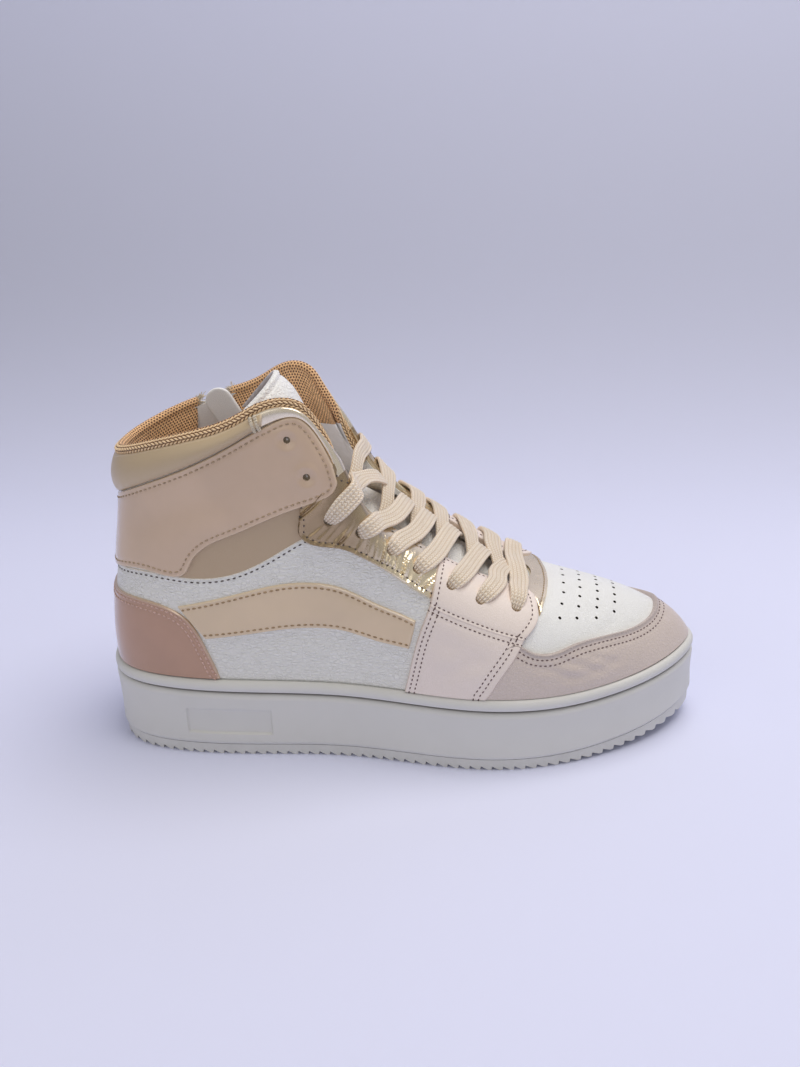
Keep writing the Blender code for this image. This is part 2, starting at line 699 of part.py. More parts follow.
def make_zip_slider(frame, finish):
    """A shield-shaped plate over the chain, with a bail that holds the pull's cross bar."""
    half = [(-6.0, 2.5), (-3.5, 4.5), (2.0, 4.2), (6.0, 2.8)]
    shield = half + [(d, -c) for d, c in half[::-1]]
    plate = prism("zip_slider", shield, 0, SLIDER_PLATE, frame, finish)
    foot, crown = SLIDER_PLATE - 0.5, SLIDER_PLATE + BAIL_HEIGHT
    window = crown - 1.1
    outer = [(-4.2, foot), (-3.0, crown), (3.0, crown), (4.2, foot)]
    arch = outer + [(2.2, foot), (1.8, window), (-1.8, window), (-2.2, foot)]
    bail = prism("zip_bail", arch, -BAIL_HALF, BAIL_HALF, frame, finish, side_view=True)
    bail.hide_render = True
    bail.display_type = "WIRE"
    join = plate.modifiers.new("join", "BOOLEAN")
    join.operation = "UNION"
    join.object = bail


def make_zip_pull(frame, finish):
    """The pull tab: a cross bar under the bail, two arms and a flat tab lying down the zip."""
    place, axes = frame
    bar = PULL_THICKNESS / 2
    level = SLIDER_PLATE + (BAIL_HEIGHT - 1.1) / 2
    arm = BAIL_HALF + 0.5
    outer = arm + 1.3
    loop_end = 5.2
    tab = [(7.0, -3.4), (PULL_LENGTH - 2.5, -3.4), (PULL_LENGTH - 0.7, -2.4), (PULL_LENGTH, 0.0)]
    tab += [(d, -c) for d, c in tab[-2::-1]]
    outline = [(loop_end, outer), (-bar, outer), (-bar, -outer), (loop_end, -outer), *tab]
    window = [(loop_end - 0.3, arm), (bar, arm), (bar, -arm), (loop_end - 0.3, -arm)]
    pivot = place + axes[2] * level
    prism("zip_pull", outline, level - bar, level + bar, frame, finish, hole=window, origin=pivot)


for old in list(bpy.data.objects):
    bpy.data.objects.remove(old)

WHITE = material("white grained leather", (0.80, 0.80, 0.80), 0.5)
RUBBER = material("off-white rubber", (0.76, 0.75, 0.74), 0.6)
PINK = material("pale pink leather", (0.72, 0.60, 0.56), 0.45)
GOLD = material("crinkled gold leather", (0.60, 0.47, 0.30), 0.3, 0.8)
PATENT = material("beige patent leather", (0.62, 0.48, 0.36), 0.1)
BEIGE = material("soft beige leather", (0.60, 0.47, 0.34), 0.4)
ROSE = material("rose patent leather", (0.50, 0.30, 0.22), 0.15)
BINDING = material("tan knitted binding", (0.58, 0.38, 0.20), 0.8)
FOAM = material("insole cloth", (0.65, 0.52, 0.38), 0.9)
ZIP_CLOTH = material("white zip tape", (0.82, 0.82, 0.82), 0.7)
ENAMEL = material("white enamelled metal", (0.85, 0.85, 0.86), 0.25)
LACE = material("cream braided lace", (0.72, 0.58, 0.44), 0.8)

make_outsole(RUBBER)
make_cupsole(RUBBER)
make_insole(FOAM)
make_upper(WHITE)
make_tongue(WHITE)
overlay("toe_cap", both_sides(TOE_CAP, toe=True), PINK, 28, 3)
overlay("heel_counter", both_sides(HEEL_COUNTER), ROSE, 22, 3)
overlay("throat_tab", both_sides(THROAT_TAB, toe=True), GOLD, 24, 2)
for side_name, flip in (("lateral", list), ("medial", mirrored)):
    overlay("forefoot_panel_" + side_name, flip(FOREFOOT_PANEL), PINK, 6, 5)
    overlay("eyestay_front_" + side_name, flip(EYESTAY_FRONT), PINK, 5, 7)
    overlay("eyestay_rear_" + side_name, flip(EYESTAY_REAR), GOLD, 15, 4, gap=EYESTAY_GAP)
overlay("ankle_strap", ANKLE_STRAP_FRONT + ANKLE_STRAP_REAR, PATENT, 30, 3)
overlay("ankle_strap_medial", mirrored(ANKLE_STRAP_FRONT + ANKLE_STRAP_MEDIAL[::-1]), PATENT, 8, 4)
overlay("collar_pad", COLLAR_PAD, BEIGE, 25, 3, 0.8, 3.2)
overlay("side_band", SIDE_BAND, PATENT, 12, 2)
overlay("zip_tape", ZIP_TAPE, ZIP_CLOTH, 12, 4, 0.6, ZIP_CHAIN - 0.6)
make_binding("collar_binding", -19.0, 57.0, BINDING)
make_binding("collar_binding_medial", -57.0, -24.0, BINDING)
make_lace_bar(LACE_HOLES[0], LACE)
for number, hole in enumerate(LACE_HOLES[1:], 1):
    make_lace_cross("lace_cross_%d" % number, hole, LACE)
ZIP_FRAME = zip_frame()
make_zip_slider(ZIP_FRAME, ENAMEL)
make_zip_pull(ZIP_FRAME, ENAMEL)
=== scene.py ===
"""High-top side-zip sneaker for the right foot: its finishes, seams and soft parts.

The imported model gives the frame: +X toe, -Y lateral side, +Z up, in metres. Sizes here are in
millimetres, and "along" is per cent round the sole from the heel back to the toe tip, negative on
the medial side, while "up" is per cent from the sole's lip to the collar or throat edge.
"""
from collections import namedtuple

import bmesh
import bpy
import numpy as np
from mathutils import Matrix


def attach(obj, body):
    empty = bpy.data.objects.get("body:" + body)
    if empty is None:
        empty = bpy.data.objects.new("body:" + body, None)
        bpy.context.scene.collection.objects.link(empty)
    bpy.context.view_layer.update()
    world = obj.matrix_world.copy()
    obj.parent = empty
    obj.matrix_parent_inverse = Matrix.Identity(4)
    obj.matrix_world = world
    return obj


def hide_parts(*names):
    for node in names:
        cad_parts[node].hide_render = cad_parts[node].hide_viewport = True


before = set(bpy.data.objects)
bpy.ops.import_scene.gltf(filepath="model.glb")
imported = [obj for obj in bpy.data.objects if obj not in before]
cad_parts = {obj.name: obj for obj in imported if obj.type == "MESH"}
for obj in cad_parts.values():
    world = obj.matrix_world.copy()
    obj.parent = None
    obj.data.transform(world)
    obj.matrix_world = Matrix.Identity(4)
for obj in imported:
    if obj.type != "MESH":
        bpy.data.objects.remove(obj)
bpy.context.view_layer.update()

# Outsole: a sheet of off-white rubber moulded with zigzag lugs and cemented under the cup.
# The ends of the lugs show as saw teeth along its edge.
MM = 0.001
SOLE_LENGTH = 265.0
TOE_SPRING = 7.4
SPRING_START = 60.0
OUTSOLE_THICKNESS = 5.0
OUTSOLE_INSET = 1.0
TREAD_PITCH = 4.8
TREAD_LAND = 1.3
TREAD_RISE = 0.35
TREAD_DEPTH = 1.7
ZIGZAG_SWING = 2.6
ZIGZAG_PEAKS = 3
ZIGZAG_FADE = 16.0
ROUND_ENDS = np.array([0.05, 0.2, 0.5, 0.9, 1.5, 2.2, 3.1, 4.2, 5.4])
RUBBER_COLOUR = (0.71, 0.705, 0.685)
DIRT_COLOUR = (0.42, 0.40, 0.37)
# Painted shade: a darker colour laid in the lip's groove and along the recess edges
GROOVE_SHADE = (0.30, 0.28, 0.27)
DIRT_HEIGHT = (16.0, 1.0)

PlanPoint = namedtuple("PlanPoint", "x y")
SOLE_PLAN = [
    PlanPoint(-132.5, 0.0), PlanPoint(-123.5, -27.5), PlanPoint(-94.5, -38.7),
    PlanPoint(-20.0, -39.5), PlanPoint(45.0, -47.2), PlanPoint(100.0, -29.2),
    PlanPoint(126.5, -6.3), PlanPoint(132.5, 8.7), PlanPoint(125.2, 24.3),
    PlanPoint(96.5, 38.0), PlanPoint(40.0, 47.3), PlanPoint(-25.0, 35.3),
    PlanPoint(-94.5, 38.3), PlanPoint(-123.5, 28.0),
]


def spline(knots, values, closed=False):
    """Cubic through values at ascending knots, natural at its ends or closed over one turn."""
    knots, values = np.asarray(knots, float), np.asarray(values, float)
    count = len(knots)
    step = np.diff(np.append(knots, knots[0] + 1.0)) if closed else np.diff(knots)
    system, load = np.eye(count), np.zeros_like(values)
    for i in range(count) if closed else range(1, count - 1):
        after = (i + 1) % count
        system[i] = 0
        system[i, i - 1] += step[i - 1]
        system[i, i] += 2 * (step[i - 1] + step[i])
        system[i, after] += step[i]
        rise_after = (values[after] - values[i]) / step[i]
        rise_before = (values[i] - values[i - 1]) / step[i - 1]
        load[i] = 6 * (rise_after - rise_before)
    bend = np.linalg.solve(system, load)

    def at(where):
        where = np.asarray(where, float)
        if closed:
            where = np.mod(where - knots[0], 1.0) + knots[0]
        i = np.clip(np.searchsorted(knots, where, side="right") - 1, 0, len(step) - 1)
        j = (i + 1) % count
        width = step[i][..., None]
        b = (where - knots[i])[..., None] / width
        a = 1 - b
        curve = (a**3 - a) * bend[i] + (b**3 - b) * bend[j]
        return a * values[i] + b * values[j] + curve * width**2 / 6

    return at


def run_of(points):
    """Distance along a line of points."""
    return np.append(0, np.cumsum(np.linalg.norm(np.diff(points, axis=0), axis=1)))


def chord_knots(points):
    run = run_of(points)
    return run / run[-1]


def unit(vectors):
    return vectors / np.linalg.norm(vectors, axis=-1, keepdims=True)


def plan_of_sole():
    """Dense outline: turn (0 heel, 0.5 toe tip, 1 heel again), points and outward normals."""
    points = np.array(SOLE_PLAN)
    knots = chord_knots(np.vstack([points, points[:1]]))[:-1]
    dense = spline(knots, points, closed=True)(np.linspace(0, 1, 2401))
    low, high = dense.min(axis=0), dense.max(axis=0)
    dense = dense - (low + high) / 2
    dense[:, 0] *= SOLE_LENGTH / (high[0] - low[0])
    along = run_of(dense)
    tip = along[dense[:, 0].argmax()]
    turn = np.where(along < tip, along / tip, 1 + (along - tip) / (along[-1] - tip)) / 2
    run = np.gradient(dense, axis=0)
    normal = np.stack([run[:, 1], -run[:, 0]], axis=1)
    normal[[0, -1]] = (-1, 0)
    return turn, dense, unit(normal)


PLAN_TURN, PLAN_POINTS, PLAN_NORMALS = plan_of_sole()


def plan_at(turn, inset=0.0):
    """Points of the sole's outline, moved in by inset, and the outward directions there."""
    turn = np.mod(np.asarray(turn, float), 1.0)
    columns = (*PLAN_POINTS.T, *PLAN_NORMALS.T)
    picked = [np.interp(turn, PLAN_TURN, column) for column in columns]
    point, normal = np.stack(picked[:2], -1), unit(np.stack(picked[2:], -1))
    return point - normal * np.asarray(inset)[..., None], normal


def plan_sides(x, inset):
    """The outline's lateral and medial y at each x."""
    sides = []
    for turn in (np.linspace(0, 0.5, 1500), np.linspace(1, 0.5, 1500)):
        point, _ = plan_at(turn, inset)
        order = np.argsort(point[:, 0])
        sides.append(np.interp(x, point[order, 0], point[order, 1]))
    return sides


def spring_at(x):
    return TOE_SPRING * np.clip((x - SPRING_START) / (SOLE_LENGTH / 2 - SPRING_START), 0, 1) ** 2


def put(tree, kind, inputs=(), **settings):
    """Adds a node; an input given a socket is linked, and any other value is set."""
    made = tree.nodes.new(kind)
    for key, value in settings.items():
        setattr(made, key, value)
    for key, value in dict(inputs).items():
        if isinstance(value, bpy.types.NodeSocket):
            tree.links.new(value, made.inputs[key])
        else:
            made.inputs[key].default_value = value
    return made


def calc(operation, first, second=0.0):
    """Maths on a socket, in the tree that the socket belongs to."""
    inputs = {0: first, 1: second}
    return put(first.id_data, "ShaderNodeMath", inputs, operation=operation).outputs[0]


def ranged(value, low, high, out_low=0.0, out_high=1.0):
    """Maps a value from one range to another, eased and held at the ends."""
    ends = {"From Min": low, "From Max": high, "To Min": out_low, "To Max": out_high}
    inputs = {"Value": value, **ends}
    made = put(value.id_data, "ShaderNodeMapRange", inputs, interpolation_type="SMOOTHSTEP")
    return made.outputs["Result"]


def tinted(share, first, second):
    """A colour between two others, each a socket or red, green and blue."""
    tree = share.id_data
    made = tree.nodes.new("ShaderNodeMix")
    made.data_type = "RGBA"
    sockets = {socket.identifier: socket for socket in made.inputs}
    tree.links.new(share, sockets["Factor_Float"])
    for key, colour in (("A_Color", first), ("B_Color", second)):
        if isinstance(colour, bpy.types.NodeSocket):
            tree.links.new(colour, sockets[key])
        else:
            sockets[key].default_value = (*colour, 1)
    return made.outputs[2]


def shaded(colour, value, dark, light=1.0, reach=0.2):
    """A colour between two shades of itself, as a value goes up through a half."""
    low, high = ([c * shade for c in colour] for shade in (dark, light))
    return tinted(ranged(value, 0.5 - reach, 0.5 + reach), low, high)


def noise(where, scale, detail=2.0, roughness=0.5):
    """Noise with features of 1 / scale metres."""
    inputs = {"Vector": where, "Scale": scale, "Detail": detail, "Roughness": roughness}
    return put(where.id_data, "ShaderNodeTexNoise", inputs).outputs[0]


def axes_of(vector):
    return put(vector.id_data, "ShaderNodeSeparateXYZ", {0: vector}).outputs


def marked(beside, name):
    """A piece's own point value, in the tree of another socket."""
    return put(beside.id_data, "ShaderNodeAttribute", attribute_name=name).outputs["Fac"]


def bumped(height, depth, normal=None):
    """Bump of a depth in millimetres for a height from 0 to 1."""
    inputs = {"Height": height, "Distance": depth * MM, "Strength": 1.0}
    if normal is not None:
        inputs["Normal"] = normal
    return put(height.id_data, "ShaderNodeBump", inputs).outputs[0]


def finish_of(name, **values):
    """A Principled material with constant values, by socket name with _ for spaces."""
    made = bpy.data.materials.new(name)
    made.use_nodes = True
    tree = made.node_tree
    shader = tree.nodes["Principled BSDF"]
    for key, value in values.items():
        shader.inputs[key.replace("_", " ")].default_value = value
    place = tree.nodes.new("ShaderNodeTexCoord").outputs["Object"]
    return made, shader, place


def join(socket, shader, name):
    shader.id_data.links.new(socket, shader.inputs[name])


def rubber_finish(name, colour, floor_dirt):
    """Moulded rubber: faint mottling, a fine satin skin, a trace of dirt low down by the floor, and
    painted shade in the grooves and edges that a piece marks."""
    made, shader, place = finish_of(name, IOR=1.48)
    base = shaded(colour, noise(place, 60, 3), 0.98)
    patchy = noise(place, 140, 4, 0.65)
    low = ranged(axes_of(place)["Z"], *(height * MM for height in DIRT_HEIGHT))
    patches = calc("MULTIPLY", low, ranged(patchy, 0.35, 0.75))
    grimy = tinted(calc("MULTIPLY", patches, floor_dirt), base, DIRT_COLOUR)
    # Painted shade where the piece's groove mark is set
    groove = ranged(marked(place, "groove"), 0.1, 1.0)
    join(tinted(groove, grimy, GROOVE_SHADE), shader, "Base Color")
    join(ranged(patchy, 0.2, 0.8, 0.44, 0.6), shader, "Roughness")
    skin = bumped(noise(place, 2600, 2), 0.02)
    join(bumped(noise(place, 90, 2), 0.12, skin), shader, "Normal")
    return made


def grid_faces(index):
    """Quads between neighbours in a grid of point numbers."""
    corners = (index[:-1, :-1], index[:-1, 1:], index[1:, 1:], index[1:, :-1])
    return np.stack(corners, -1).reshape(-1, 4).tolist()


def linked(name, data):
    """A new object in the scene, holding a mesh, lamp or camera."""
    made = bpy.data.objects.new(name, data)
    bpy.context.scene.collection.objects.link(made)
    return made


def piece_of(name, points, faces, finish, uv=None, marks=None, merge=0.0, sharp=0.7):
    """A smooth object from points in millimetres, with a UV map and named point values if given."""
    mesh = bpy.data.meshes.new(name)
    mesh.from_pydata((np.asarray(points) * MM).tolist(), [], faces)
    mesh.materials.append(finish)
    if uv is not None:
        corner = np.empty(len(mesh.loops), np.int32)
        mesh.loops.foreach_get("vertex_index", corner)
        layer = mesh.uv_layers.new(name="Surface")
        layer.data.foreach_set("uv", np.asarray(uv, np.float32)[corner].ravel())
    for key, values in (marks or {}).items():
        mark = mesh.attributes.new(key, "FLOAT", "POINT")
        mark.data.foreach_set("value", np.asarray(values, np.float32).ravel())
    work = bmesh.new()
    work.from_mesh(mesh)
    if merge:
        bmesh.ops.remove_doubles(work, verts=work.verts, dist=merge * MM)
    bmesh.ops.recalc_face_normals(work, faces=work.faces)
    work.to_mesh(mesh)
    work.free()
    mesh.shade_smooth()
    mesh.set_sharp_from_angle(angle=sharp)
    return linked(name, mesh)


def border_of(rows, columns):
    """Row and column of each point round a grid's edge."""
    there = [(0, c) for c in range(columns)] + [(r, columns - 1) for r in range(1, rows)]
    back = [(rows - 1, c) for c in range(columns - 2, -1, -1)]
    return there + back + [(r, 0) for r in range(rows - 2, 0, -1)]


def slab(name, outer, inner, finish, uv=None, marks=None, sharp=0.7):
    """A closed sheet between two grids of points that share one border order."""
    rows, columns = outer.shape[:2]
    size = rows * columns
    index = np.arange(size).reshape(rows, columns)
    faces = grid_faces(index) + grid_faces(index + size)
    rim = np.array([index[r, c] for r, c in border_of(rows, columns)])
    after = np.roll(rim, -1)
    faces += np.stack([rim, rim + size, after + size, after], -1).tolist()
    points = np.concatenate([outer.reshape(-1, 3), inner.reshape(-1, 3)])
    both_uv = None if uv is None else np.tile(uv.reshape(-1, 2), (2, 1))
    both = {key: np.tile(np.ravel(value), 2) for key, value in (marks or {}).items()}
    return piece_of(name, points, faces, finish, both_uv, both, sharp=sharp)


def settle(piece, body="shoe", stands_for=()):
    """Rides a finished piece on its body and hides the nodes it stands for."""
    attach(piece, body)
    if stands_for:
        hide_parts(*stands_for)


def outsole_grid():
    """Under and upper faces of the tread: flat lands, each with a steep wall up and a slope down."""
    half = SOLE_LENGTH / 2 - OUTSOLE_INSET
    stations = [(x, 0.0) for x in np.concatenate([-half + ROUND_ENDS, half - ROUND_ENDS])]
    for x in np.arange(-half + TREAD_PITCH, half - TREAD_PITCH, TREAD_PITCH):
        land_end = x + TREAD_LAND
        stations += [(x, 0.0), (land_end, 0.0), (land_end + TREAD_RISE, TREAD_DEPTH)]
    stations = np.array(sorted(stations))
    side = np.linspace(-1, 1, 49)[None, :]
    swing = 1 - np.abs(np.mod(side * ZIGZAG_PEAKS + 1, 2) - 1)
    fade = np.clip((half - np.abs(stations[:, :1])) / ZIGZAG_FADE, 0, 1)
    x = stations[:, :1] + ZIGZAG_SWING * swing * fade
    lateral, medial = plan_sides(x, OUTSOLE_INSET)
    y = (lateral + medial) / 2 + side * (medial - lateral) / 2
    low, high = spring_at(x) + stations[:, 1:], spring_at(x) + OUTSOLE_THICKNESS
    return np.stack([x, y, low], -1), np.stack([x, y, high], -1)


OUTSOLE_RUBBER = rubber_finish("outsole rubber", RUBBER_COLOUR, floor_dirt=0.15)
outsole = slab("sole_tread", *outsole_grid(), OUTSOLE_RUBBER, sharp=0.4)
settle(outsole, stands_for=("outsole",))

# Cupsole: the tall rubber cup that the upper is lasted into, moulded in one with a rolled bead
# round its lip. On the heel's lateral side the wall has a shallow plain recess.
HEEL_WALL = 38.9
TOE_WALL = 32.4
GAP = 0.3
SKIRT = 9.0
UPPER_INSET = 3.4
WALL_HOLLOW = 0.35
RECESS_X = (-92.0, -54.0)
RECESS_Z = (11.0, 23.0)
RECESS_DEPTH = 1.0
RECESS_EDGE = 0.8
# Painted shade along the recess's edges, as a share of the groove's
RECESS_EDGE_SHADE = 0.3
RECESS_TURN = (0.06, 0.17)
WALL_FOOT = 1.8
WALL_RINGS = 30

# Height below the lip, how far in from the sole's outline, and the painted shade there, up the
# groove and over the bead
LipRing = namedtuple("LipRing", "below inset grime", defaults=(0.0,))
LIP_BEAD = [
    LipRing(8.2, 0.0), LipRing(7.2, 0.25), LipRing(6.5, 0.7), LipRing(6.1, 1.3, 0.35),
    LipRing(5.9, 2.2, 1.0), LipRing(5.75, 2.8, 1.0), LipRing(5.5, 2.8, 1.0),
    LipRing(5.35, 2.0, 1.0), LipRing(5.1, 1.0, 0.35), LipRing(4.7, 0.45), LipRing(4.1, 0.1),
    LipRing(3.3, -0.05), LipRing(2.4, 0.0), LipRing(1.6, 0.3), LipRing(0.9, 0.75),
    LipRing(0.4, 1.4), LipRing(0.1, 2.0), LipRing(0.0, 2.6), LipRing(0.2, 3.0),
    LipRing(1.0, UPPER_INSET - GAP), LipRing(SKIRT + 2 * GAP, UPPER_INSET - GAP),
]

# The wall's rounded foot: height above the outsole, and how far in from the sole's outline
FootRing = namedtuple("FootRing", "above inset")
WALL_START = [FootRing(GAP, 1.0), FootRing(0.7, 0.5)]


def lip_at(x):
    """Height of the top of the sole's wall."""
    share = x / SOLE_LENGTH + 0.5
    return HEEL_WALL + (TOE_WALL - HEEL_WALL) * share + spring_at(x)


def recess_at(turn, x, z):
    """Depth of the plain recess, eased at its edges, and the painted shade along them."""
    inside_x = np.minimum(x - RECESS_X[0], RECESS_X[1] - x)
    inside_z = np.minimum(z - RECESS_Z[0], RECESS_Z[1] - z)
    inside = np.where(turn < 0.5, np.minimum(inside_x, inside_z), -9.0)
    share = np.clip(inside / RECESS_EDGE + 0.5, 0, 1)
    grime = RECESS_EDGE_SHADE * np.clip(1 - np.abs(inside), 0, 1)
    return RECESS_DEPTH * share**2 * (3 - 2 * share), grime


def cup_rings():
    """Rings of the cup from the outsole up to its lip, with the painted shade on each. Their points
    lie closer together along the recess."""
    turn = np.unique(np.concatenate([np.arange(600) / 600, np.linspace(*RECESS_TURN, 120)]))
    outline, normal = plan_at(turn)
    foot = spring_at(outline[:, 0]) + OUTSOLE_THICKNESS
    low, high = foot + WALL_FOOT, lip_at(outline[:, 0]) - LIP_BEAD[0].below
    rings = [np.column_stack([plan_at(turn, r.inset)[0], foot + r.above]) for r in WALL_START]
    grime = [0 * turn for _ in WALL_START]
    for share in np.linspace(0, 1, WALL_RINGS)[:-1]:
        z = low + (high - low) * share
        recess, recess_shade = recess_at(turn, outline[:, 0], z)
        inset = WALL_HOLLOW * np.sin(np.pi * share) + recess
        rings.append(np.column_stack([outline - normal * inset[:, None], z]))
        grime.append(recess_shade)
    for ring in LIP_BEAD:
        point, _ = plan_at(turn, ring.inset)
        rings.append(np.column_stack([point, lip_at(point[:, 0]) - ring.below]))
        grime.append(0 * turn + ring.grime)
    return np.array(rings), np.array(grime)


def ring_faces(rings, first=0, capped=True):
    """Faces of a tube through rings of points, closed at its two ends if it is capped."""
    index = first + np.arange(rings.shape[0] * rings.shape[1]).reshape(rings.shape[:2])
    faces = grid_faces(np.column_stack([index, index[:, :1]]))
    return faces + [index[0].tolist(), index[-1].tolist()] if capped else faces


rings, groove_shade = cup_rings()
CUP_RUBBER = rubber_finish("cup rubber", RUBBER_COLOUR, floor_dirt=0.08)
cupsole = piece_of("sole_cup", rings.reshape(-1, 3), ring_faces(rings), CUP_RUBBER,
                   marks={"groove": groove_shade})
settle(cupsole, stands_for=("cupsole",))

# Insole: a foam footbed faced with tan cloth, die cut and laid loose in the cup. Its rim turns up
# round the heel, and the cloth is a plain weave.
UPPER_WALL = 2.2
INSOLE_THICKNESS = 4.0
INSOLE_CUP = 2.2
INSOLE_CUP_FROM = 20.0
INSOLE_CUP_RUN = 90.0
INSOLE_ROUNDING = 0.8
INSOLE_SPINE = (-95.0, 88.0)
INSOLE_SHARES = (0.0, 0.3, 0.55, 0.75, 0.88, 0.96, 1.0)
INSOLE_COLOUR = (0.56, 0.42, 0.29)


def woven_finish(name, colour, pitch, depth):
    """Cloth of two crossing threads, pitch millimetres apart, with painted shade in the low cells of
    the weave, slightly faded in patches.
    """
    made, shader, place = finish_of(name, Roughness=0.9, Sheen_Weight=0.3)
    x, y, _ = axes_of(place)
    step = 2 * np.pi / (pitch * MM)
    warp, weft = (calc("SINE", calc("MULTIPLY", axis, step)) for axis in (x, y))
    thread = ranged(calc("MULTIPLY", warp, weft), -0.9, 0.9)
    faded = shaded(colour, noise(place, 40, 3), 0.86)
    # Painted shade in the low cells of the weave
    join(tinted(thread, [c * 0.62 for c in colour], faded), shader, "Base Color")
    join(bumped(thread, depth), shader, "Normal")
    return made


def footbed():
    """Rings from the middle of the footbed's face out over its rim and down under it."""
    turn = np.arange(240) / 240
    edge, _ = plan_at(turn, UPPER_INSET + UPPER_WALL + 2 * GAP)
    spine_x = np.clip(edge[:, 0], *INSOLE_SPINE)
    lateral, medial = plan_sides(spine_x, UPPER_INSET)
    spine = np.column_stack([spine_x, (lateral + medial) / 2])
    base = GAP - SKIRT - 2 * GAP
    heel = np.clip((INSOLE_CUP_FROM - edge[:, 0]) / INSOLE_CUP_RUN, 0, 1)
    round_from = INSOLE_SHARES[-2]
    rings = []
    for share in INSOLE_SHARES:
        point = spine + (edge - spine) * share
        fall = INSOLE_ROUNDING * max(share - round_from, 0) / (1 - round_from)
        rim = INSOLE_CUP * heel * share**6 - fall
        rings.append(np.column_stack([point, lip_at(point[:, 0]) + base + INSOLE_THICKNESS + rim]))
    for share in (1.0, 0.0):
        point = spine + (edge - spine) * share
        rings.append(np.column_stack([point, lip_at(point[:, 0]) + base]))
    return np.array(rings)


rings = footbed()
INSOLE_CLOTH = woven_finish("insole cloth", INSOLE_COLOUR, pitch=0.9, depth=0.15)
insole = piece_of("footbed", rings.reshape(-1, 3), ring_faces(rings, capped=False), INSOLE_CLOTH,
                  merge=0.02)
settle(insole, stands_for=("insole",))

# Upper: the lasted wall of smooth white leather that everything else is sewn to. It shows in the
# toe window, where it is punched with rows of pinholes, and beside the zip. Its flex creases are
# soft troughs between ridges, and every panel sewn on it follows them.
Section = namedtuple("Section", "along top_x lateral medial back top_z turn square belly waist")
SECTIONS = [
    Section(0, -118.5, 0.0, 0.0, 0.0, 133.0, 16, 2.0, 0.8, 4.0),
    Section(5, -116.5, 10.5, 10.5, 0.0, 134.0, 16, 2.0, 0.8, 4.0),
    Section(10, -110.0, 20.0, 20.0, 0.0, 136.5, 17, 2.0, 0.8, 3.6),
    Section(16, -97.0, 28.0, 28.0, 0.0, 141.0, 18, 2.0, 0.8, 3.0),
    Section(23, -78.0, 32.0, 31.5, 0.0, 147.0, 22, 2.0, 0.8, 2.0),
    Section(30, -58.0, 31.5, 31.0, 1.5, 154.5, 28, 2.0, 0.6, 1.0),
    Section(36, -43.0, 30.0, 29.5, 4.0, 160.0, 32, 2.0, 0.4, 0.5),
    Section(40, -33.0, 28.8, 28.5, 6.0, 158.5, 36, 2.0, 0.2, 0.0),
    Section(44, -26.5, 27.8, 27.5, 6.6, 150.5, 40, 2.0, 0.0, 0.0),
    Section(49, -20.5, 27.0, 26.5, 5.4, 138.5, 44, 1.9, 0.0, 0.0),
    Section(54, -17.0, 26.0, 25.5, 2.8, 124.5, 48, 1.9, 0.0, 0.0),
    Section(58.5, -11.0, 23.5, 23.5, 0.8, 112.5, 52, 1.8, 0.0, 0.0),
    Section(64, 4.0, 20.5, 21.0, 0.0, 99.5, 57, 1.8, 0.0, 0.0),
    Section(70, 19.0, 18.5, 19.5, 0.0, 88.5, 62, 1.8, 0.0, 0.0),
    Section(76, 33.0, 16.5, 18.0, 0.0, 79.5, 68, 1.85, -0.2, 0.0),
    Section(82, 44.5, 13.5, 15.5, 0.0, 73.5, 75, 1.85, -0.8, 0.0),
    Section(88, 52.0, 8.5, 11.5, 0.0, 71.0, 82, 1.8, -1.8, 0.0),
    Section(94, 55.5, 3.0, 7.0, 0.0, 70.2, 86, 1.8, -2.5, 0.0),
    Section(100, 56.5, -2.0, 2.0, 0.0, 70.0, 88, 1.8, -2.5, 0.0),
]

# Creases run between two places on the upper, bowed sideways by "bow" per cent up
Crease = namedtuple("Crease", "along up to_along to_up bow depth width")
CREASES = [
    Crease(70.5, 24, 77.0, 9, 3, 0.35, 1.6), Crease(74.5, 26, 80.5, 12, 3, 0.40, 1.5),
    Crease(78.5, 27, 83.5, 14, 2, 0.30, 1.3), Crease(72.0, 14, 85.0, 20, -3, 0.30, 1.8),
    Crease(-71.0, 25, -77.0, 10, 3, 0.35, 1.6), Crease(-75.0, 26, -81.0, 13, 3, 0.35, 1.5),
    Crease(57.0, 10, 65.0, 24, 4, 0.35, 3.2), Crease(56.5, 36, 66.0, 30, -4, 0.30, 3.6),
    Crease(-57.0, 12, -65.0, 26, 4, 0.35, 3.2), Crease(30.0, 12, 46.0, 16, 5, 0.40, 4.5),
    Crease(41.0, 44, 50.0, 40, -5, 0.35, 3.8), Crease(-30.0, 14, -46.0, 18, 5, 0.40, 4.5),
    Crease(12.0, 62, 30.0, 72, 5, 0.45, 6.0), Crease(4.0, 68, -14.0, 62, 4, 0.40, 5.5),
    Crease(77.0, 62, 84.0, 74, 2, 0.25, 1.6), Crease(83.0, 42, 92.0, 52, -3, 0.20, 2.2),
]

# Pinholes of the toe box, in rows across it: mean x, the row's middle y, spacing and how many
PinholeRow = namedtuple("PinholeRow", "x middle pitch count")
PINHOLES = [
    PinholeRow(73.8, 2.05, 7.35, 8), PinholeRow(81.0, 3.6, 6.1, 9),
    PinholeRow(88.6, 2.8, 4.9, 9), PinholeRow(96.2, 4.6, 4.85, 7),
]
PINHOLE_RADIUS = 0.72
PINHOLE_DEPTH = 1.4
PINHOLE_BOW = 0.0035
WHITE_COLOUR = (0.915, 0.92, 0.905)
# Painted shade: near black on the floors of punched holes and the walls of the pinholes
HOLE_SHADE_COLOUR = (0.035, 0.028, 0.024)
COLLAR_DIP = 0.021
COLLAR_DIP_AT = 29.0
COLLAR_DIP_HALF = 6.5
FLAP_TRIM = 0.006
FLAP_SPAN = (33.0, 64.0)
FLAP_EASE = 6.0
RIDGE_SHARE = 0.55
UNCUT = 9.0
PUNCH_PROUD = 2.5


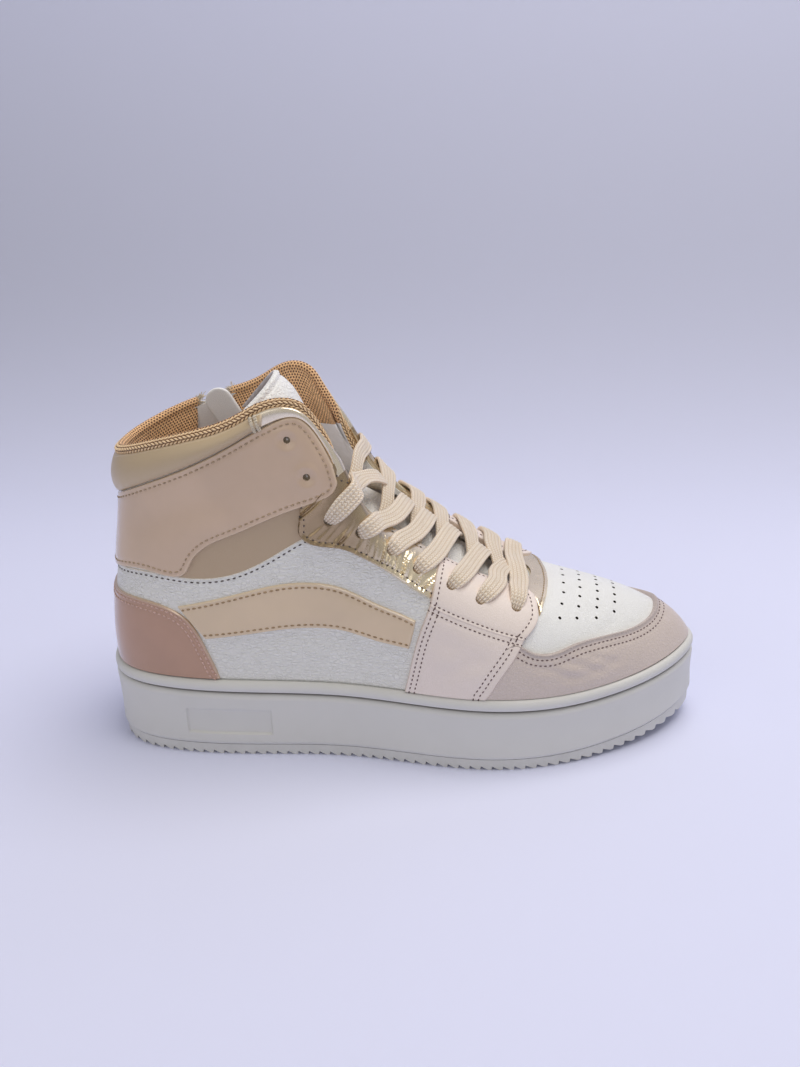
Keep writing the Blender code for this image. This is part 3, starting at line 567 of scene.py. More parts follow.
def section_columns():
    lateral = [(s.along / 200, s.top_x, -s.lateral, *s[5:]) for s in SECTIONS]
    others = SECTIONS[-2:0:-1]
    medial = [(1 - s.along / 200, s.top_x - s.back, s.medial, *s[5:]) for s in others]
    table = np.array(lateral + medial)
    return spline(table[:, 0], table[:, 1:], closed=True)


SECTION_AT = section_columns()


def shell_point(turn, up):
    """Outer face of the upper. up: 0 at the sole's lip, 1 at the collar or throat edge, and below
    0 down inside the sole's cup."""
    turn, up = np.broadcast_arrays(np.asarray(turn, float), np.asarray(up, float))
    foot, normal = plan_at(turn, UPPER_INSET)
    foot_z = lip_at(foot[..., 0])
    top_x, top_y, top_z, lean, square, belly, waist = np.moveaxis(SECTION_AT(turn), -1, 0)
    rise = np.clip(up, 0, 1)
    end = np.radians(lean)
    power = 2 / square
    across = (1 - np.cos(rise * end) ** power) / (1 - np.cos(end) ** power)
    height = np.sin(rise * end) ** power / np.sin(end) ** power
    swell = 6.75 * (belly * rise * (1 - rise) ** 2 - waist * rise**2 * (1 - rise))
    x = foot[..., 0] + (top_x - foot[..., 0]) * across + normal[..., 0] * swell
    y = foot[..., 1] + (top_y - foot[..., 1]) * across + normal[..., 1] * swell
    z = foot_z + (top_z - foot_z) * height + np.minimum(up, 0) * SKIRT
    return np.stack([x, y, z], -1)


# Step in turn, up or share over which a slope is taken
SMALL = 1e-3


def shell_normal(turn, up):
    """Outward direction of the upper's face."""
    up = np.clip(up, -1 + SMALL, 1 - SMALL)
    by_turn = shell_point(turn + SMALL, up) - shell_point(turn - SMALL, up)
    by_up = shell_point(turn, up + SMALL) - shell_point(turn, up - SMALL)
    return unit(np.cross(by_turn, by_up))


def shell(turn, up, lift=0.0):
    """The upper's outer face moved out by lift."""
    turn, up = np.broadcast_arrays(np.asarray(turn, float), np.asarray(up, float))
    return shell_point(turn, up) + shell_normal(turn, up) * np.asarray(lift)[..., None]


def bell(value, middle, half):
    """1 at the middle, falling smoothly away on both sides."""
    return np.exp(-(((value - middle) / half) ** 2))


def collar_up(turn):
    """How far up the wall its cut edge lies: it dips behind the corner of each ankle flap."""
    along = np.abs(np.mod(turn * 200 + 100, 200) - 100)
    back, front = (along - FLAP_SPAN[0]) / FLAP_EASE, (FLAP_SPAN[1] - along) / FLAP_EASE
    trim = FLAP_TRIM * np.clip(back, 0, 1) * np.clip(front, 0, 1)
    return 1 - COLLAR_DIP * bell(along, COLLAR_DIP_AT, COLLAR_DIP_HALF) - trim


def away_from(points, line):
    """Distance from each point to a line of points, and the share along the line of the nearest."""
    flat = points.reshape(-1, 3)
    best = np.full(len(flat), np.inf)
    where = np.zeros(len(flat))
    for i, spot in enumerate(line):
        away = ((flat - spot) ** 2).sum(axis=1)
        nearer = away < best
        best[nearer] = away[nearer]
        where[nearer] = i / max(len(line) - 1, 1)
    return np.sqrt(best).reshape(points.shape[:-1]), where.reshape(points.shape[:-1])


def crease_line(crease):
    share = np.linspace(0, 1, 40)
    along = crease.along + (crease.to_along - crease.along) * share
    up = crease.up + (crease.to_up - crease.up) * share + crease.bow * np.sin(np.pi * share)
    return shell_point(along / 200, up / 100)


CREASE_LINES = [crease_line(crease) for crease in CREASES]


def relief(points):
    """How far the creases move the upper's face out at these points."""
    total = np.zeros(points.shape[:-1])
    for crease, line in zip(CREASES, CREASE_LINES):
        away, share = away_from(points, line)
        fade = np.sin(np.pi * np.clip(share, 0.02, 0.98)) ** 0.7 * crease.depth
        ridge = bell(away, 2.0 * crease.width, 1.1 * crease.width)
        total += fade * (RIDGE_SHARE * ridge - bell(away, 0.0, crease.width))
    return total


def vector_calc(operation, *values):
    tree = values[0].id_data
    return put(tree, "ShaderNodeVectorMath", enumerate(values), operation=operation).outputs[0]


def leather_finish(name, colour, grain, depth, edge=(0.80, 0.70, 0.56), rim_width=1.1, hollow=0.96,
                   drawn=(1.0, 1.0, 1.0), **values):
    """Leather with a pebbled grain of the given size and depth in millimetres, drawn out along the
    shoe, its hollows shaded. Where a piece has a rim value, its cut edge is rubbed to the edge
    colour."""
    made, shader, place = finish_of(name, **values)
    size = grain * MM
    pulled = vector_calc("MULTIPLY", place, drawn)
    tree = place.id_data
    warp = put(tree, "ShaderNodeTexNoise", {"Vector": pulled, "Scale": 0.9 / size}).outputs["Color"]
    bent = vector_calc("MULTIPLY_ADD", warp, [1.3 * size] * 3, pulled)
    cells = {"Vector": bent, "Scale": 1 / size}
    crease = put(tree, "ShaderNodeTexVoronoi", cells, feature="DISTANCE_TO_EDGE").outputs["Distance"]
    wrinkle = calc("MULTIPLY", noise(pulled, 0.5 / size, 3, 0.6), 0.8)
    pebble = calc("ADD", ranged(crease, 0.0, 0.3), wrinkle)
    fine = noise(place, 3.2 / size, 2)
    cloudy = noise(place, 55, 4, 0.6)
    shade = shaded(colour, cloudy, 0.975)
    deep = tinted(ranged(crease, 0.0, 0.16), [c * hollow for c in colour], shade)
    rim = ranged(marked(place, "rim"), rim_width, rim_width - 1.0)
    rubbed = calc("MULTIPLY", rim, ranged(fine, 0.3, 0.7, 0.35, 0.8))
    pale = [0.3 * c + 0.7 * w for c, w in zip(colour, edge)]
    join(tinted(rubbed, deep, pale), shader, "Base Color")
    gloss = values.get("Roughness", 0.5)
    join(ranged(cloudy, 0.25, 0.75, gloss - 0.05, gloss + 0.08), shader, "Roughness")
    pores = bumped(fine, depth * 0.3)
    join(bumped(pebble, depth, pores), shader, "Normal")
    return made


SMOOTH_WHITE = leather_finish("smooth white leather", WHITE_COLOUR, grain=0.8, depth=0.1,
                              Roughness=0.42)
HOLE_SHADE = leather_finish("painted shade inside a hole", HOLE_SHADE_COLOUR, grain=0.4, depth=0.02,
                           Roughness=0.9)


def socket_named(group, name):
    for item in group.interface.items_tree:
        if item.item_type == "SOCKET" and item.in_out == "INPUT" and item.name == name:
            return item.identifier
    raise KeyError(name)


def node_tree_of(name, sizes, finishes):
    """A new Geometry Nodes tree with a geometry input, named sizes and named materials."""
    group = bpy.data.node_groups.new(name, "GeometryNodeTree")
    face = group.interface
    face.new_socket("Geometry", in_out="INPUT", socket_type="NodeSocketGeometry")
    for size, kind in sizes.items():
        face.new_socket(size, in_out="INPUT", socket_type=kind)
    for finish in finishes:
        face.new_socket(finish, in_out="INPUT", socket_type="NodeSocketMaterial")
    face.new_socket("Geometry", in_out="OUTPUT", socket_type="NodeSocketGeometry")
    return group, put(group, "NodeGroupInput"), put(group, "NodeGroupOutput")


def baked_mesh(source):
    """A plain mesh of an object as its modifiers leave it."""
    graph = bpy.context.evaluated_depsgraph_get()
    return bpy.data.meshes.new_from_object(source.evaluated_get(graph), depsgraph=graph)


def grown(name, points, edges, outs, group, values):
    """A plain mesh object made by a tree from points, edges and an "out" direction per point."""
    mesh = bpy.data.meshes.new(name + " route")
    mesh.from_pydata((np.asarray(points) * MM).tolist(), edges, [])
    mark = mesh.attributes.new("out", "FLOAT_VECTOR", "POINT")
    mark.data.foreach_set("vector", np.asarray(outs, np.float32).ravel())
    source = linked(name + " route", mesh)
    maker = source.modifiers.new("make", "NODES")
    maker.node_group = group
    for key, value in values.items():
        maker[socket_named(group, key)] = value
    baked = baked_mesh(source)
    baked.name = name
    bpy.data.objects.remove(source)
    return linked(name, baked)


def named_direction(group, name):
    """A point's own direction, as a field."""
    made = put(group, "GeometryNodeInputNamedAttribute", {"Name": name}, data_type="FLOAT_VECTOR")
    return made.outputs[0]


def aligned(group, direction, axis, turned=None):
    """A rotation that brings an instance's axis to a direction, only about X if already turned."""
    kind = "FunctionNodeAlignRotationToVector"
    if turned is None:
        return put(group, kind, {"Vector": direction}, axis=axis).outputs[0]
    inputs = {"Vector": direction, "Rotation": turned}
    return put(group, kind, inputs, axis=axis, pivot_axis="X").outputs[0]


def punch_tree():
    """Round plugs standing on points, with one finish on their sides and one on their floors."""
    sizes = {"Radius": "NodeSocketFloat", "Depth": "NodeSocketFloat", "Proud": "NodeSocketFloat"}
    group, given, result = node_tree_of("punch", sizes, ("Side", "Floor"))
    radius, depth, proud = (given.outputs[size] for size in sizes)
    plug = put(group, "GeometryNodeMeshCylinder", {
        "Vertices": 20, "Radius": radius, "Depth": calc("ADD", depth, proud)})
    middle = calc("MULTIPLY", calc("SUBTRACT", proud, depth), 0.5)
    offset = put(group, "ShaderNodeCombineXYZ", {"Z": middle}).outputs[0]
    moved = put(group, "GeometryNodeTransform", {
        "Geometry": plug.outputs["Mesh"], "Translation": offset})
    sided = put(group, "GeometryNodeSetMaterial", {
        "Geometry": moved.outputs[0], "Material": given.outputs["Side"]})
    floored = put(group, "GeometryNodeSetMaterial", {
        "Geometry": sided.outputs[0], "Selection": plug.outputs["Bottom"],
        "Material": given.outputs["Floor"]})
    placed = put(group, "GeometryNodeInstanceOnPoints", {
        "Points": given.outputs["Geometry"], "Instance": floored.outputs[0],
        "Rotation": aligned(group, named_direction(group, "out"), "Z")})
    real = put(group, "GeometryNodeRealizeInstances", {0: placed.outputs[0]})
    group.links.new(real.outputs[0], result.inputs[0])
    return group


PUNCH = punch_tree()


def punched(piece, places, radius, depth, wall):
    """Cuts round holes into a piece at points with outward directions, with painted shade at their
    floors.
    """
    values = {"Radius": radius * MM, "Depth": depth * MM, "Proud": PUNCH_PROUD * MM}
    points, outs = places
    cutter = grown(piece.name + " punch", points, [], outs, PUNCH,
                   {**values, "Side": wall, "Floor": HOLE_SHADE})
    cut = piece.modifiers.new("punch", "BOOLEAN")
    cut.operation = "DIFFERENCE"
    cut.solver = "EXACT"
    cut.material_mode = "TRANSFER"
    cut.object = cutter
    mesh = baked_mesh(piece)
    piece.modifiers.clear()
    piece.data = mesh
    mesh.name = piece.name
    bpy.data.objects.remove(cutter)


def on_toe_box(x, y):
    """Turn and up of the upper's face under a point of the toe box, seen from above."""
    turn, up = np.meshgrid(np.linspace(0.34, 0.66, 321), np.linspace(0.3, 1, 141), indexing="ij")
    point = shell_point(turn, up)
    nearest = np.hypot(point[..., 0] - x, point[..., 1] - y).argmin()
    return turn.ravel()[nearest], up.ravel()[nearest]


def pinhole_places():
    places = []
    for row in PINHOLES:
        for number in range(row.count):
            aside = (number - (row.count - 1) / 2) * row.pitch
            places.append(on_toe_box(row.x - PINHOLE_BOW * aside**2, row.middle + aside))
    return np.array(places)


def upper_wall():
    turn = np.arange(390)[None, :] / 390
    rise = np.concatenate([[-1.0, -0.4], np.linspace(0, 1, 72)])[:, None]
    rise = np.where(rise > 0, rise * collar_up(turn), rise)
    point = shell_point(turn, rise)
    outer = shell(turn, rise, relief(point) * (rise > 0))
    inner = shell(turn, np.linspace(1, -1, 14)[:, None] * collar_up(turn), -UPPER_WALL)
    rings = np.concatenate([outer, inner])
    index = np.arange(rings.shape[0] * rings.shape[1]).reshape(rings.shape[:2])
    index = np.column_stack([index, index[:, :1]])
    faces = grid_faces(np.vstack([index, index[:1]]))
    return piece_of("upper_wall", rings.reshape(-1, 3), faces, SMOOTH_WHITE,
                    marks={"rim": np.full(rings.shape[:2], UNCUT)})


upper = upper_wall()
turn, up = pinhole_places().T
pinholes = (shell_point(turn, up), shell_normal(turn, up))
punched(upper, pinholes, PINHOLE_RADIUS, PINHOLE_DEPTH, HOLE_SHADE)
settle(upper, stands_for=("upper",))

# Quarters: one band of white tumbled leather from the lateral eyestay round the heel to the medial
# one. It is pebbled, skived thin, and sewn down along its top line with a dark thread.
Rib = namedtuple("Rib", "low_along low_up high_along high_up")
QUARTERS = [
    Rib(54.5, 0.6, 61.5, 61.0), Rib(50.0, 0.6, 55.0, 62.0), Rib(45.0, 0.6, 46.5, 60.5),
    Rib(38.3, 0.6, 38.3, 51.0), Rib(34.4, 0.6, 34.4, 46.0), Rib(28.6, 0.6, 28.6, 42.2),
    Rib(22.8, 0.6, 22.8, 43.0), Rib(16.4, 0.6, 16.4, 46.4), Rib(0.0, 0.6, 0.0, 46.4),
    Rib(-16.4, 0.6, -16.4, 46.4), Rib(-30.0, 0.6, -30.0, 47.5), Rib(-38.3, 0.6, -38.3, 52.0),
    Rib(-46.0, 0.6, -47.0, 60.5), Rib(-54.5, 0.6, -61.5, 61.0),
]
QUARTER_COLOUR = (0.88, 0.875, 0.835)
QUARTER_TOP = 0.5
MM_ALONG = 3.1
RIB_SCALE = (MM_ALONG, 1.0, MM_ALONG, 1.0)
EDGE_STEPS = np.array([0.0, 0.12, 0.3, 0.6, 1.0, 1.6])
CHANNEL_DEPTH = 0.2
CHANNEL_HALF = 0.6
UNDERSIDE = -0.25

Panel = namedtuple("Panel", "piece face normal away")


def spread(length, count):
    """Shares across a piece, close together near its two edges."""
    steps = EDGE_STEPS * min(1.0, length / (5 * EDGE_STEPS[-1]))
    middle = np.linspace(steps[-1], length - steps[-1], count)[1:-1]
    return np.concatenate([steps, middle, (length - steps)[::-1]]) / length


def rounded(inside, radius):
    """From 0 at an edge up to 1 a radius inside it, as a quarter circle."""
    return np.sqrt(1 - (1 - np.clip(inside / radius, 0, 1)) ** 2)


def through(ribs):
    """A smooth run of ribs, from the first at 0 to the last at 1."""
    table = np.array(ribs)
    return spline(chord_knots(table * RIB_SCALE), table)


def rib_ends(line):
    """The low and high ends of ribs, on the upper."""
    return [shell_point(line[:, i] / 200, line[:, i + 1] / 100) for i in (0, 2)]


def between(line, share):
    """Turn and up of points a share of the way from the low to the high ends of ribs."""
    turn = (line[:, 0:1] * (1 - share) + line[:, 2:3] * share) / 200
    up = (line[:, 1:2] * (1 - share) + line[:, 3:4] * share) / 100
    return turn, up


def from_edges(away, edges):
    """Distance to the nearest of the named edges."""
    return np.min([away[edge] for edge in edges.split()], axis=0)


def panel(name, ribs, finish, top, cut="low high start end", rounding=0.7, crown=0.0, seams=(),
          form=None, pitch=1.2):
    """Leather cut between the ribs' low and high edges and laid on the upper. "top" is its height
    above the wall, "cut" names the edges that show, "seams" lists (edges, inset) of its seams, and
    "form" adds to the height from the distances to the edges and the run along the piece."""
    rib_at = through(ribs)
    low, high = rib_ends(rib_at(np.linspace(0, 1, 100)))
    length = run_of((low + high) / 2)[-1]
    columns = max(int(np.linalg.norm(high - low, axis=1).max() / pitch), 5)
    line = rib_at(spread(length, max(int(length / pitch), 5)))
    low, high = rib_ends(line)
    width = np.linalg.norm(high - low, axis=1)
    share = np.array([spread(w, columns) for w in width])
    turn, up = between(line, share)
    base, normal = shell_point(turn, up), shell_normal(turn, up)
    borders = {"low": base[:, 0], "high": base[:, -1], "start": base[0], "end": base[-1]}
    away = {edge: away_from(base, border)[0] for edge, border in borders.items()}
    rim = from_edges(away, cut)
    height = UNDERSIDE + (top - UNDERSIDE) * rounded(rim, rounding)
    height = height + crown * np.sin(np.pi * share) ** 0.7
    for edges, inset in seams:
        height = height - CHANNEL_DEPTH * bell(from_edges(away, edges), inset, CHANNEL_HALF)
    run = np.broadcast_to(run_of((low + high) / 2)[:, None], share.shape)
    if form is not None:
        height = height + form(away, run, share)
    flex = relief(base)
    face = base + normal * (height + flex)[..., None]
    under = base + normal * (UNDERSIDE + np.minimum(flex, 0))[..., None]
    uv = np.stack([run, share * width[:, None]], -1)
    piece = slab(name, face, under, finish, uv, {"rim": np.minimum(rim, 12.0)})
    return Panel(piece, face, normal, away)


def seam_line(piece, edges, inset):
    """Points, links and outward directions of the line that lies inset from some edges."""
    field = from_edges(piece.away, edges) - inset
    inner = field > 0
    corners = inner[:-1, :-1] * 1 + inner[:-1, 1:] + inner[1:, 1:] + inner[1:, :-1]
    found, points, outs, links = {}, [], [], []
    for r, c in np.argwhere((corners > 0) & (corners < 4)).tolist():
        ring = [(r, c), (r, c + 1), (r + 1, c + 1), (r + 1, c)]
        crossed = []
        for a, b in zip(ring, ring[1:] + ring[:1]):
            if inner[a] == inner[b]:
                continue
            a, b = min(a, b), max(a, b)
            if (a, b) not in found:
                found[a, b] = len(points)
                share = field[a] / (field[a] - field[b])
                points.append(piece.face[a] * (1 - share) + piece.face[b] * share)
                outs.append(piece.normal[a])
            crossed.append(found[a, b])
        links += list(zip(crossed[::2], crossed[1::2]))
    return np.array(points), links, np.array(outs)


def stitch_tree():
    """Beads of thread set along lines at an even pitch, lying along the line and facing out."""
    sizes = {"Pitch": "NodeSocketFloat", "Size": "NodeSocketVector"}
    group, given, result = node_tree_of("stitches", sizes, ("Thread",))
    curve = put(group, "GeometryNodeMeshToCurve", {0: given.outputs["Geometry"]})
    even = put(group, "GeometryNodeResampleCurve", {
        "Curve": curve.outputs[0], "Length": given.outputs["Pitch"]}, mode="LENGTH")
    lying = aligned(group, put(group, "GeometryNodeInputTangent").outputs[0], "X")
    facing = aligned(group, named_direction(group, "out"), "Z", turned=lying)
    bead = put(group, "GeometryNodeMeshUVSphere", {"Segments": 8, "Rings": 5, "Radius": 0.5})
    shaped = put(group, "GeometryNodeTransform", {
        "Geometry": bead.outputs["Mesh"], "Scale": given.outputs["Size"]})
    placed = put(group, "GeometryNodeInstanceOnPoints", {
        "Points": even.outputs[0], "Instance": shaped.outputs[0], "Rotation": facing})
    real = put(group, "GeometryNodeRealizeInstances", {0: placed.outputs[0]})
    smooth = put(group, "GeometryNodeSetShadeSmooth", {0: real.outputs[0]})
    dressed = put(group, "GeometryNodeSetMaterial", {
        "Geometry": smooth.outputs[0], "Material": given.outputs["Thread"]})
    group.links.new(dressed.outputs[0], result.inputs[0])
    return group


STITCHES = stitch_tree()
STITCH_PITCH = 2.7
STITCH_SIZE = (1.6, 0.7, 0.55)


def thread_finish(name, colour):
    """Bonded sewing thread, darker in the lay of its plies."""
    made, shader, place = finish_of(name, Roughness=0.55)
    ply = noise(place, 2200, 1)
    join(shaded(colour, ply, 0.6, reach=0.15), shader, "Base Color")
    join(bumped(ply, 0.06), shader, "Normal")
    return made


def beaded(name, lines, thread, pitch, size):
    """One piece of beads along lines, each of points, links between them and outward directions."""
    points, outs, links = [], [], []
    for line, ties, faces in lines:
        first = sum(len(p) for p in points)
        links += [(a + first, b + first) for a, b in ties]
        points.append(line)
        outs.append(faces)
    values = {"Pitch": pitch * MM, "Size": [v * MM for v in size], "Thread": thread}
    made = grown(name, np.concatenate(points), links, np.concatenate(outs), STITCHES, values)
    settle(made)


def sewn(name, piece, seams, thread, slot, pitch=STITCH_PITCH, size=STITCH_SIZE):
    """Stitches along a panel's seams, as one piece in one thread."""
    lines = [seam_line(piece, edges, inset) for edges, inset in seams]
    beaded(name, lines, thread, pitch, size)


TUMBLED_WHITE = leather_finish("tumbled white leather", QUARTER_COLOUR, grain=1.9, depth=0.27,
                               hollow=0.92, drawn=(0.7, 1.0, 1.2), Roughness=0.36)
DARK_THREAD = thread_finish("dark brown thread", (0.10, 0.075, 0.07))
quarter_seams = [("high", 2.0)]
quarters = panel("quarters", QUARTERS, TUMBLED_WHITE, QUARTER_TOP, cut="high start end",
                 seams=quarter_seams, pitch=1.35)
settle(quarters.piece)
sewn("quarters_stitches", quarters, quarter_seams, DARK_THREAD, "white_leather")

# Ankle underlay: soft beige leather behind the strap's cut-away on the lateral side, caught under
# the quarter's top line and the strap.
UNDERLAY = [
    Rib(20.8, 40.0, 20.8, 52.0), Rib(25.0, 39.0, 25.0, 58.5), Rib(31.0, 40.0, 31.0, 61.0),
    Rib(36.0, 45.0, 36.0, 64.0), Rib(40.2, 49.0, 40.2, 66.0),
]
UNDERLAY_COLOUR = (0.54, 0.41, 0.28)
UNDERLAY_TOP = 0.22
MATTE_BEIGE = leather_finish("matte beige leather", UNDERLAY_COLOUR, grain=0.5, depth=0.03,
                             Roughness=0.5)
underlay = panel("ankle_underlay", UNDERLAY, MATTE_BEIGE, UNDERLAY_TOP)
settle(underlay.piece)

# Lining: tan spacer mesh padded with thin foam, sewn in behind the collar and rolled up over the
# edge, with white leather below it in the flaps. It stops short of the zip on either side, and is
# gathered in ridges round the heel's rim.
LINING_PARTS = {"lining_lateral": (-18.6, 57.0), "lining_medial": (-57.0, -24.0)}
LINING_TOP = 0.97
FACED_BELOW = 134.0
FACED_FROM = -52.0
LINING_FOAM = 1.3
LINING_ROLL = 2.0
LINING_ROLL_AT = 0.88
LINING_ROLL_HALF = 0.09
GATHER_DEPTH = 0.28
GATHER_PITCH = 0.021
GATHER_HALF = 13.0
GATHER_FROM = 0.8
END_ROUNDING = 1.5
MESH_PITCH = 1.45
MESH_ROW = 0.866
MESH_COLOUR = (0.93, 0.57, 0.29)
MESH_HOLE_SHADE = (0.20, 0.13, 0.12)
EDGE_MIDDLE = 0.75
EDGE_HALF = 1.75
EDGE_OUT = 1.9
EDGE_FULL = 1.08
EDGE_THINNING = 0.28
EDGE_THIN_SPAN = (30.0, 44.0)


def surface_of(beside):
    """Place along and across a piece, from its UV map, in the tree of another socket."""
    return put(beside.id_data, "ShaderNodeUVMap", uv_map="Surface").outputs["UV"]


def off_middle(value):
    """How far a value is from the middle of its whole step, between -0.5 and 0.5."""
    return calc("SUBTRACT", calc("FRACT", value), 0.5)


def spacer_mesh_finish(name, colour, pitch):
    """Knitted mesh: staggered rows of holes between raised yarns, the holes filled with painted
    shade, on the piece's UV map. Low down in the flaps it is faced with white leather."""
    made, shader, place = finish_of(name, Roughness=0.8, Sheen_Weight=0.25)
    run, rise, _ = axes_of(surface_of(place))
    rows = calc("DIVIDE", rise, pitch * MESH_ROW)
    shift = calc("MULTIPLY", calc("MODULO", calc("FLOOR", rows), 2.0), 0.5)
    across = off_middle(calc("ADD", calc("DIVIDE", run, pitch), shift))
    along = calc("MULTIPLY", off_middle(rows), MESH_ROW)
    squares = [calc("POWER", part, 2.0) for part in (across, along)]
    radius = calc("SQRT", calc("ADD", *squares))
    x, _, z = axes_of(place)
    faced = calc("MULTIPLY", calc("LESS_THAN", z, FACED_BELOW * MM),
                 calc("GREATER_THAN", x, FACED_FROM * MM))
    yarn = calc("MAXIMUM", ranged(radius, 0.17, 0.38), faced)
    fuzzy = noise(place, 1500, 2)
    # Painted shade in the mesh's holes
    deep = [c * share for c, share in zip(colour, MESH_HOLE_SHADE)]
    knit = tinted(yarn, deep, shaded(colour, fuzzy, 0.75, 1.2))
    leather = tinted(fuzzy, (0.86, 0.84, 0.86), (0.92, 0.90, 0.92))
    join(tinted(faced, knit, leather), shader, "Base Color")
    join(bumped(yarn, 0.5, bumped(fuzzy, 0.1)), shader, "Normal")
    return made


SPACER_MESH = spacer_mesh_finish("tan spacer mesh", MESH_COLOUR, MESH_PITCH)


def edge_ring(turn, angle, reach):
    """Points round the collar edge: angle 0 faces out, a quarter turn is the crown."""
    ahead, behind = turn + SMALL, turn - SMALL
    step = shell_point(ahead, collar_up(ahead)) - shell_point(behind, collar_up(behind))
    normal = shell_normal(turn, collar_up(turn))
    above = unit(np.cross(normal, step))
    out = EDGE_OUT * np.cos(angle) * reach - UPPER_WALL / 2
    rise = EDGE_MIDDLE + EDGE_HALF * np.sin(angle) * reach
    return shell_point(turn, collar_up(turn)) + normal * out[..., None] + above * rise[..., None]


def edge_size(along):
    """The collar edge's thickness: full round the heel, less down the front of the flaps."""
    first, last = EDGE_THIN_SPAN
    return EDGE_FULL - EDGE_THINNING * np.clip((np.abs(along) - first) / (last - first), 0, 1)


def lining_part(name, first, last):
    """Padded mesh between two places round the collar, up inside the wall and over its edge."""
    along = np.linspace(first, last, int((last - first) * 2.2))[:, None]
    rise = np.linspace(0.0, LINING_TOP, 90)[None, :]
    turn = along / 200
    roll = LINING_FOAM + LINING_ROLL * bell(rise, LINING_ROLL_AT, LINING_ROLL_HALF)
    heel = np.exp(-((along / GATHER_HALF) ** 4)) * np.clip((rise - GATHER_FROM) / 0.08, 0, 1)
    gather = GATHER_DEPTH * np.sin(2 * np.pi * rise / GATHER_PITCH) * heel
    close = rounded(np.minimum(along - first, last - along) * MM_ALONG, END_ROUNDING)
    lift = -UPPER_WALL - 0.05 - (roll + gather) * close
    angle = np.linspace(np.pi + 0.45, np.pi / 2 - 0.05, 12)[None, :] + 0 * along
    over = edge_size(along) + (0.03 + 0.22 * np.clip(close, 0.2, 1)) * np.ones_like(angle)
    rise = rise * collar_up(turn)
    round_edge = turn + 0 * angle
    face = np.concatenate([shell(turn, rise, lift), edge_ring(round_edge, angle, over)], axis=1)
    back = shell(turn, rise, np.full(lift.shape, 0.03 - UPPER_WALL))
    back = np.concatenate([back, edge_ring(round_edge, angle, over - 0.18)], axis=1)
    run = run_of(shell_point(turn[:, 0], 0.8))[:, None]
    height = run_of(face[len(face) // 2])[None, :]
    uv = np.stack(np.broadcast_arrays(run, height), -1)
    made = slab(name, face, back, SPACER_MESH, uv, sharp=1.2)
    settle(made)


for lining_name, (first, last) in LINING_PARTS.items():
    lining_part(lining_name, first, last)

# Toe cap: pale pink leather round the toe, cut out over the toe box. The window's edge is turned
# and dark grey, partly its own colour and partly painted shade, with two rows of brown stitches
# outside it.
TOE_CAP = [
    Rib(62.0, 0.6, 68.0, 36.5), Rib(67.0, 0.6, 70.2, 38.6), Rib(69.6, 0.6, 71.5, 34.3),
    Rib(71.8, 0.6, 73.1, 32.7), Rib(74.2, 0.6, 75.0, 33.5), Rib(76.4, 0.6, 77.0, 36.0),
    Rib(78.6, 0.6, 79.0, 38.2), Rib(81.2, 0.6, 81.4, 39.2), Rib(84.5, 0.6, 84.6, 38.4),
    Rib(88.4, 0.6, 88.4, 35.8), Rib(92.0, 0.6, 92.0, 34.3), Rib(95.0, 0.6, 95.0, 34.6),
    Rib(98.0, 0.6, 98.0, 36.4), Rib(100.0, 0.6, 100.0, 37.0),
]
OVERLAY_TOP = 1.6
PINK_COLOUR = (0.895, 0.79, 0.725)
PINK_EDGE = (0.52, 0.36, 0.25)
PINK_GLOSS = {"Roughness": 0.36, "Coat_Weight": 0.15, "Coat_Roughness": 0.25}
CAP_COLOUR = (0.69, 0.595, 0.54)
# Dark grey of the window's turned edge: partly its own colour, partly painted shade
CAP_EDGE_SHADE = (0.27, 0.22, 0.21)
CAP_BEAD = 0.55


def both_sides(ribs, toe=False):
    """Ribs that end at the heel back or toe tip, carried on round the other side."""
    wrap = 200 if toe else 0
    other = [Rib(wrap - r.low_along, r.low_up, wrap - r.high_along, r.high_up) for r in ribs]
    return ribs + other[-2::-1]


PINK_LEATHER = leather_finish("pale pink leather", PINK_COLOUR, grain=0.8, depth=0.04,
                              edge=PINK_EDGE, **PINK_GLOSS)
CAP_LEATHER = leather_finish("pale pink cap leather", CAP_COLOUR, grain=1.5, depth=0.1,
                             edge=CAP_EDGE_SHADE, rim_width=2.2, hollow=0.95, **PINK_GLOSS)
BROWN_THREAD = thread_finish("purple brown thread", (0.17, 0.105, 0.10))
PINK_SEWING = {"thread": BROWN_THREAD, "slot": "pink_leather", "pitch": 2.1, "size": (1.3, 0.62, 0.5)}
cap_seams = [("high", 2.6), ("high", 4.9)]


def edge_bead(inside, height):
    """A bead just inside an edge, where the leather is turned under."""
    return height * bell(inside, 0.9, 0.75)


def turned_edge(away, run, share):
    return edge_bead(away["high"], CAP_BEAD)


toe_cap = panel("toe_cap_leather", both_sides(TOE_CAP, toe=True), CAP_LEATHER, OVERLAY_TOP,
                cut="high start end", seams=cap_seams, form=turned_edge)
settle(toe_cap.piece, stands_for=("toe_cap",))
sewn("toe_cap_stitches", toe_cap, cap_seams, **PINK_SEWING)

# Forefoot: on each side a pink leather panel up from the sole, and a pink front eyestay that laps
# over its top. Two rows of brown stitches hold the panel's sides, and one row runs on each side of
# the join.
FOREFOOT_PANEL = [
    Rib(51.9, 0.6, 63.4, 0.6), Rib(53.3, 16.0, 65.4, 14.0), Rib(55.6, 33.0, 68.4, 28.5),
    Rib(59.6, 53.2, 71.7, 43.6),
]
EYESTAY_FRONT = [
    Rib(59.1, 51.1, 71.2, 41.6), Rib(61.2, 62.0, 75.5, 55.0), Rib(63.6, 74.0, 79.2, 70.0),
    Rib(66.4, 86.0, 82.8, 84.0), Rib(69.6, 98.2, 84.4, 97.2),
]
Spot = namedtuple("Spot", "along up")
LACE_HOLES = [
    Spot(74.1, 65), Spot(68.5, 65), Spot(64.9, 69), Spot(60.6, 71),
    Spot(56.4, 72), Spot(49.6, 67), Spot(43.6, 62),
]
PANEL_TOP = OVERLAY_TOP + 0.55
PINK_TOP = OVERLAY_TOP + 0.8
FRONT_HOLES = LACE_HOLES[:3]
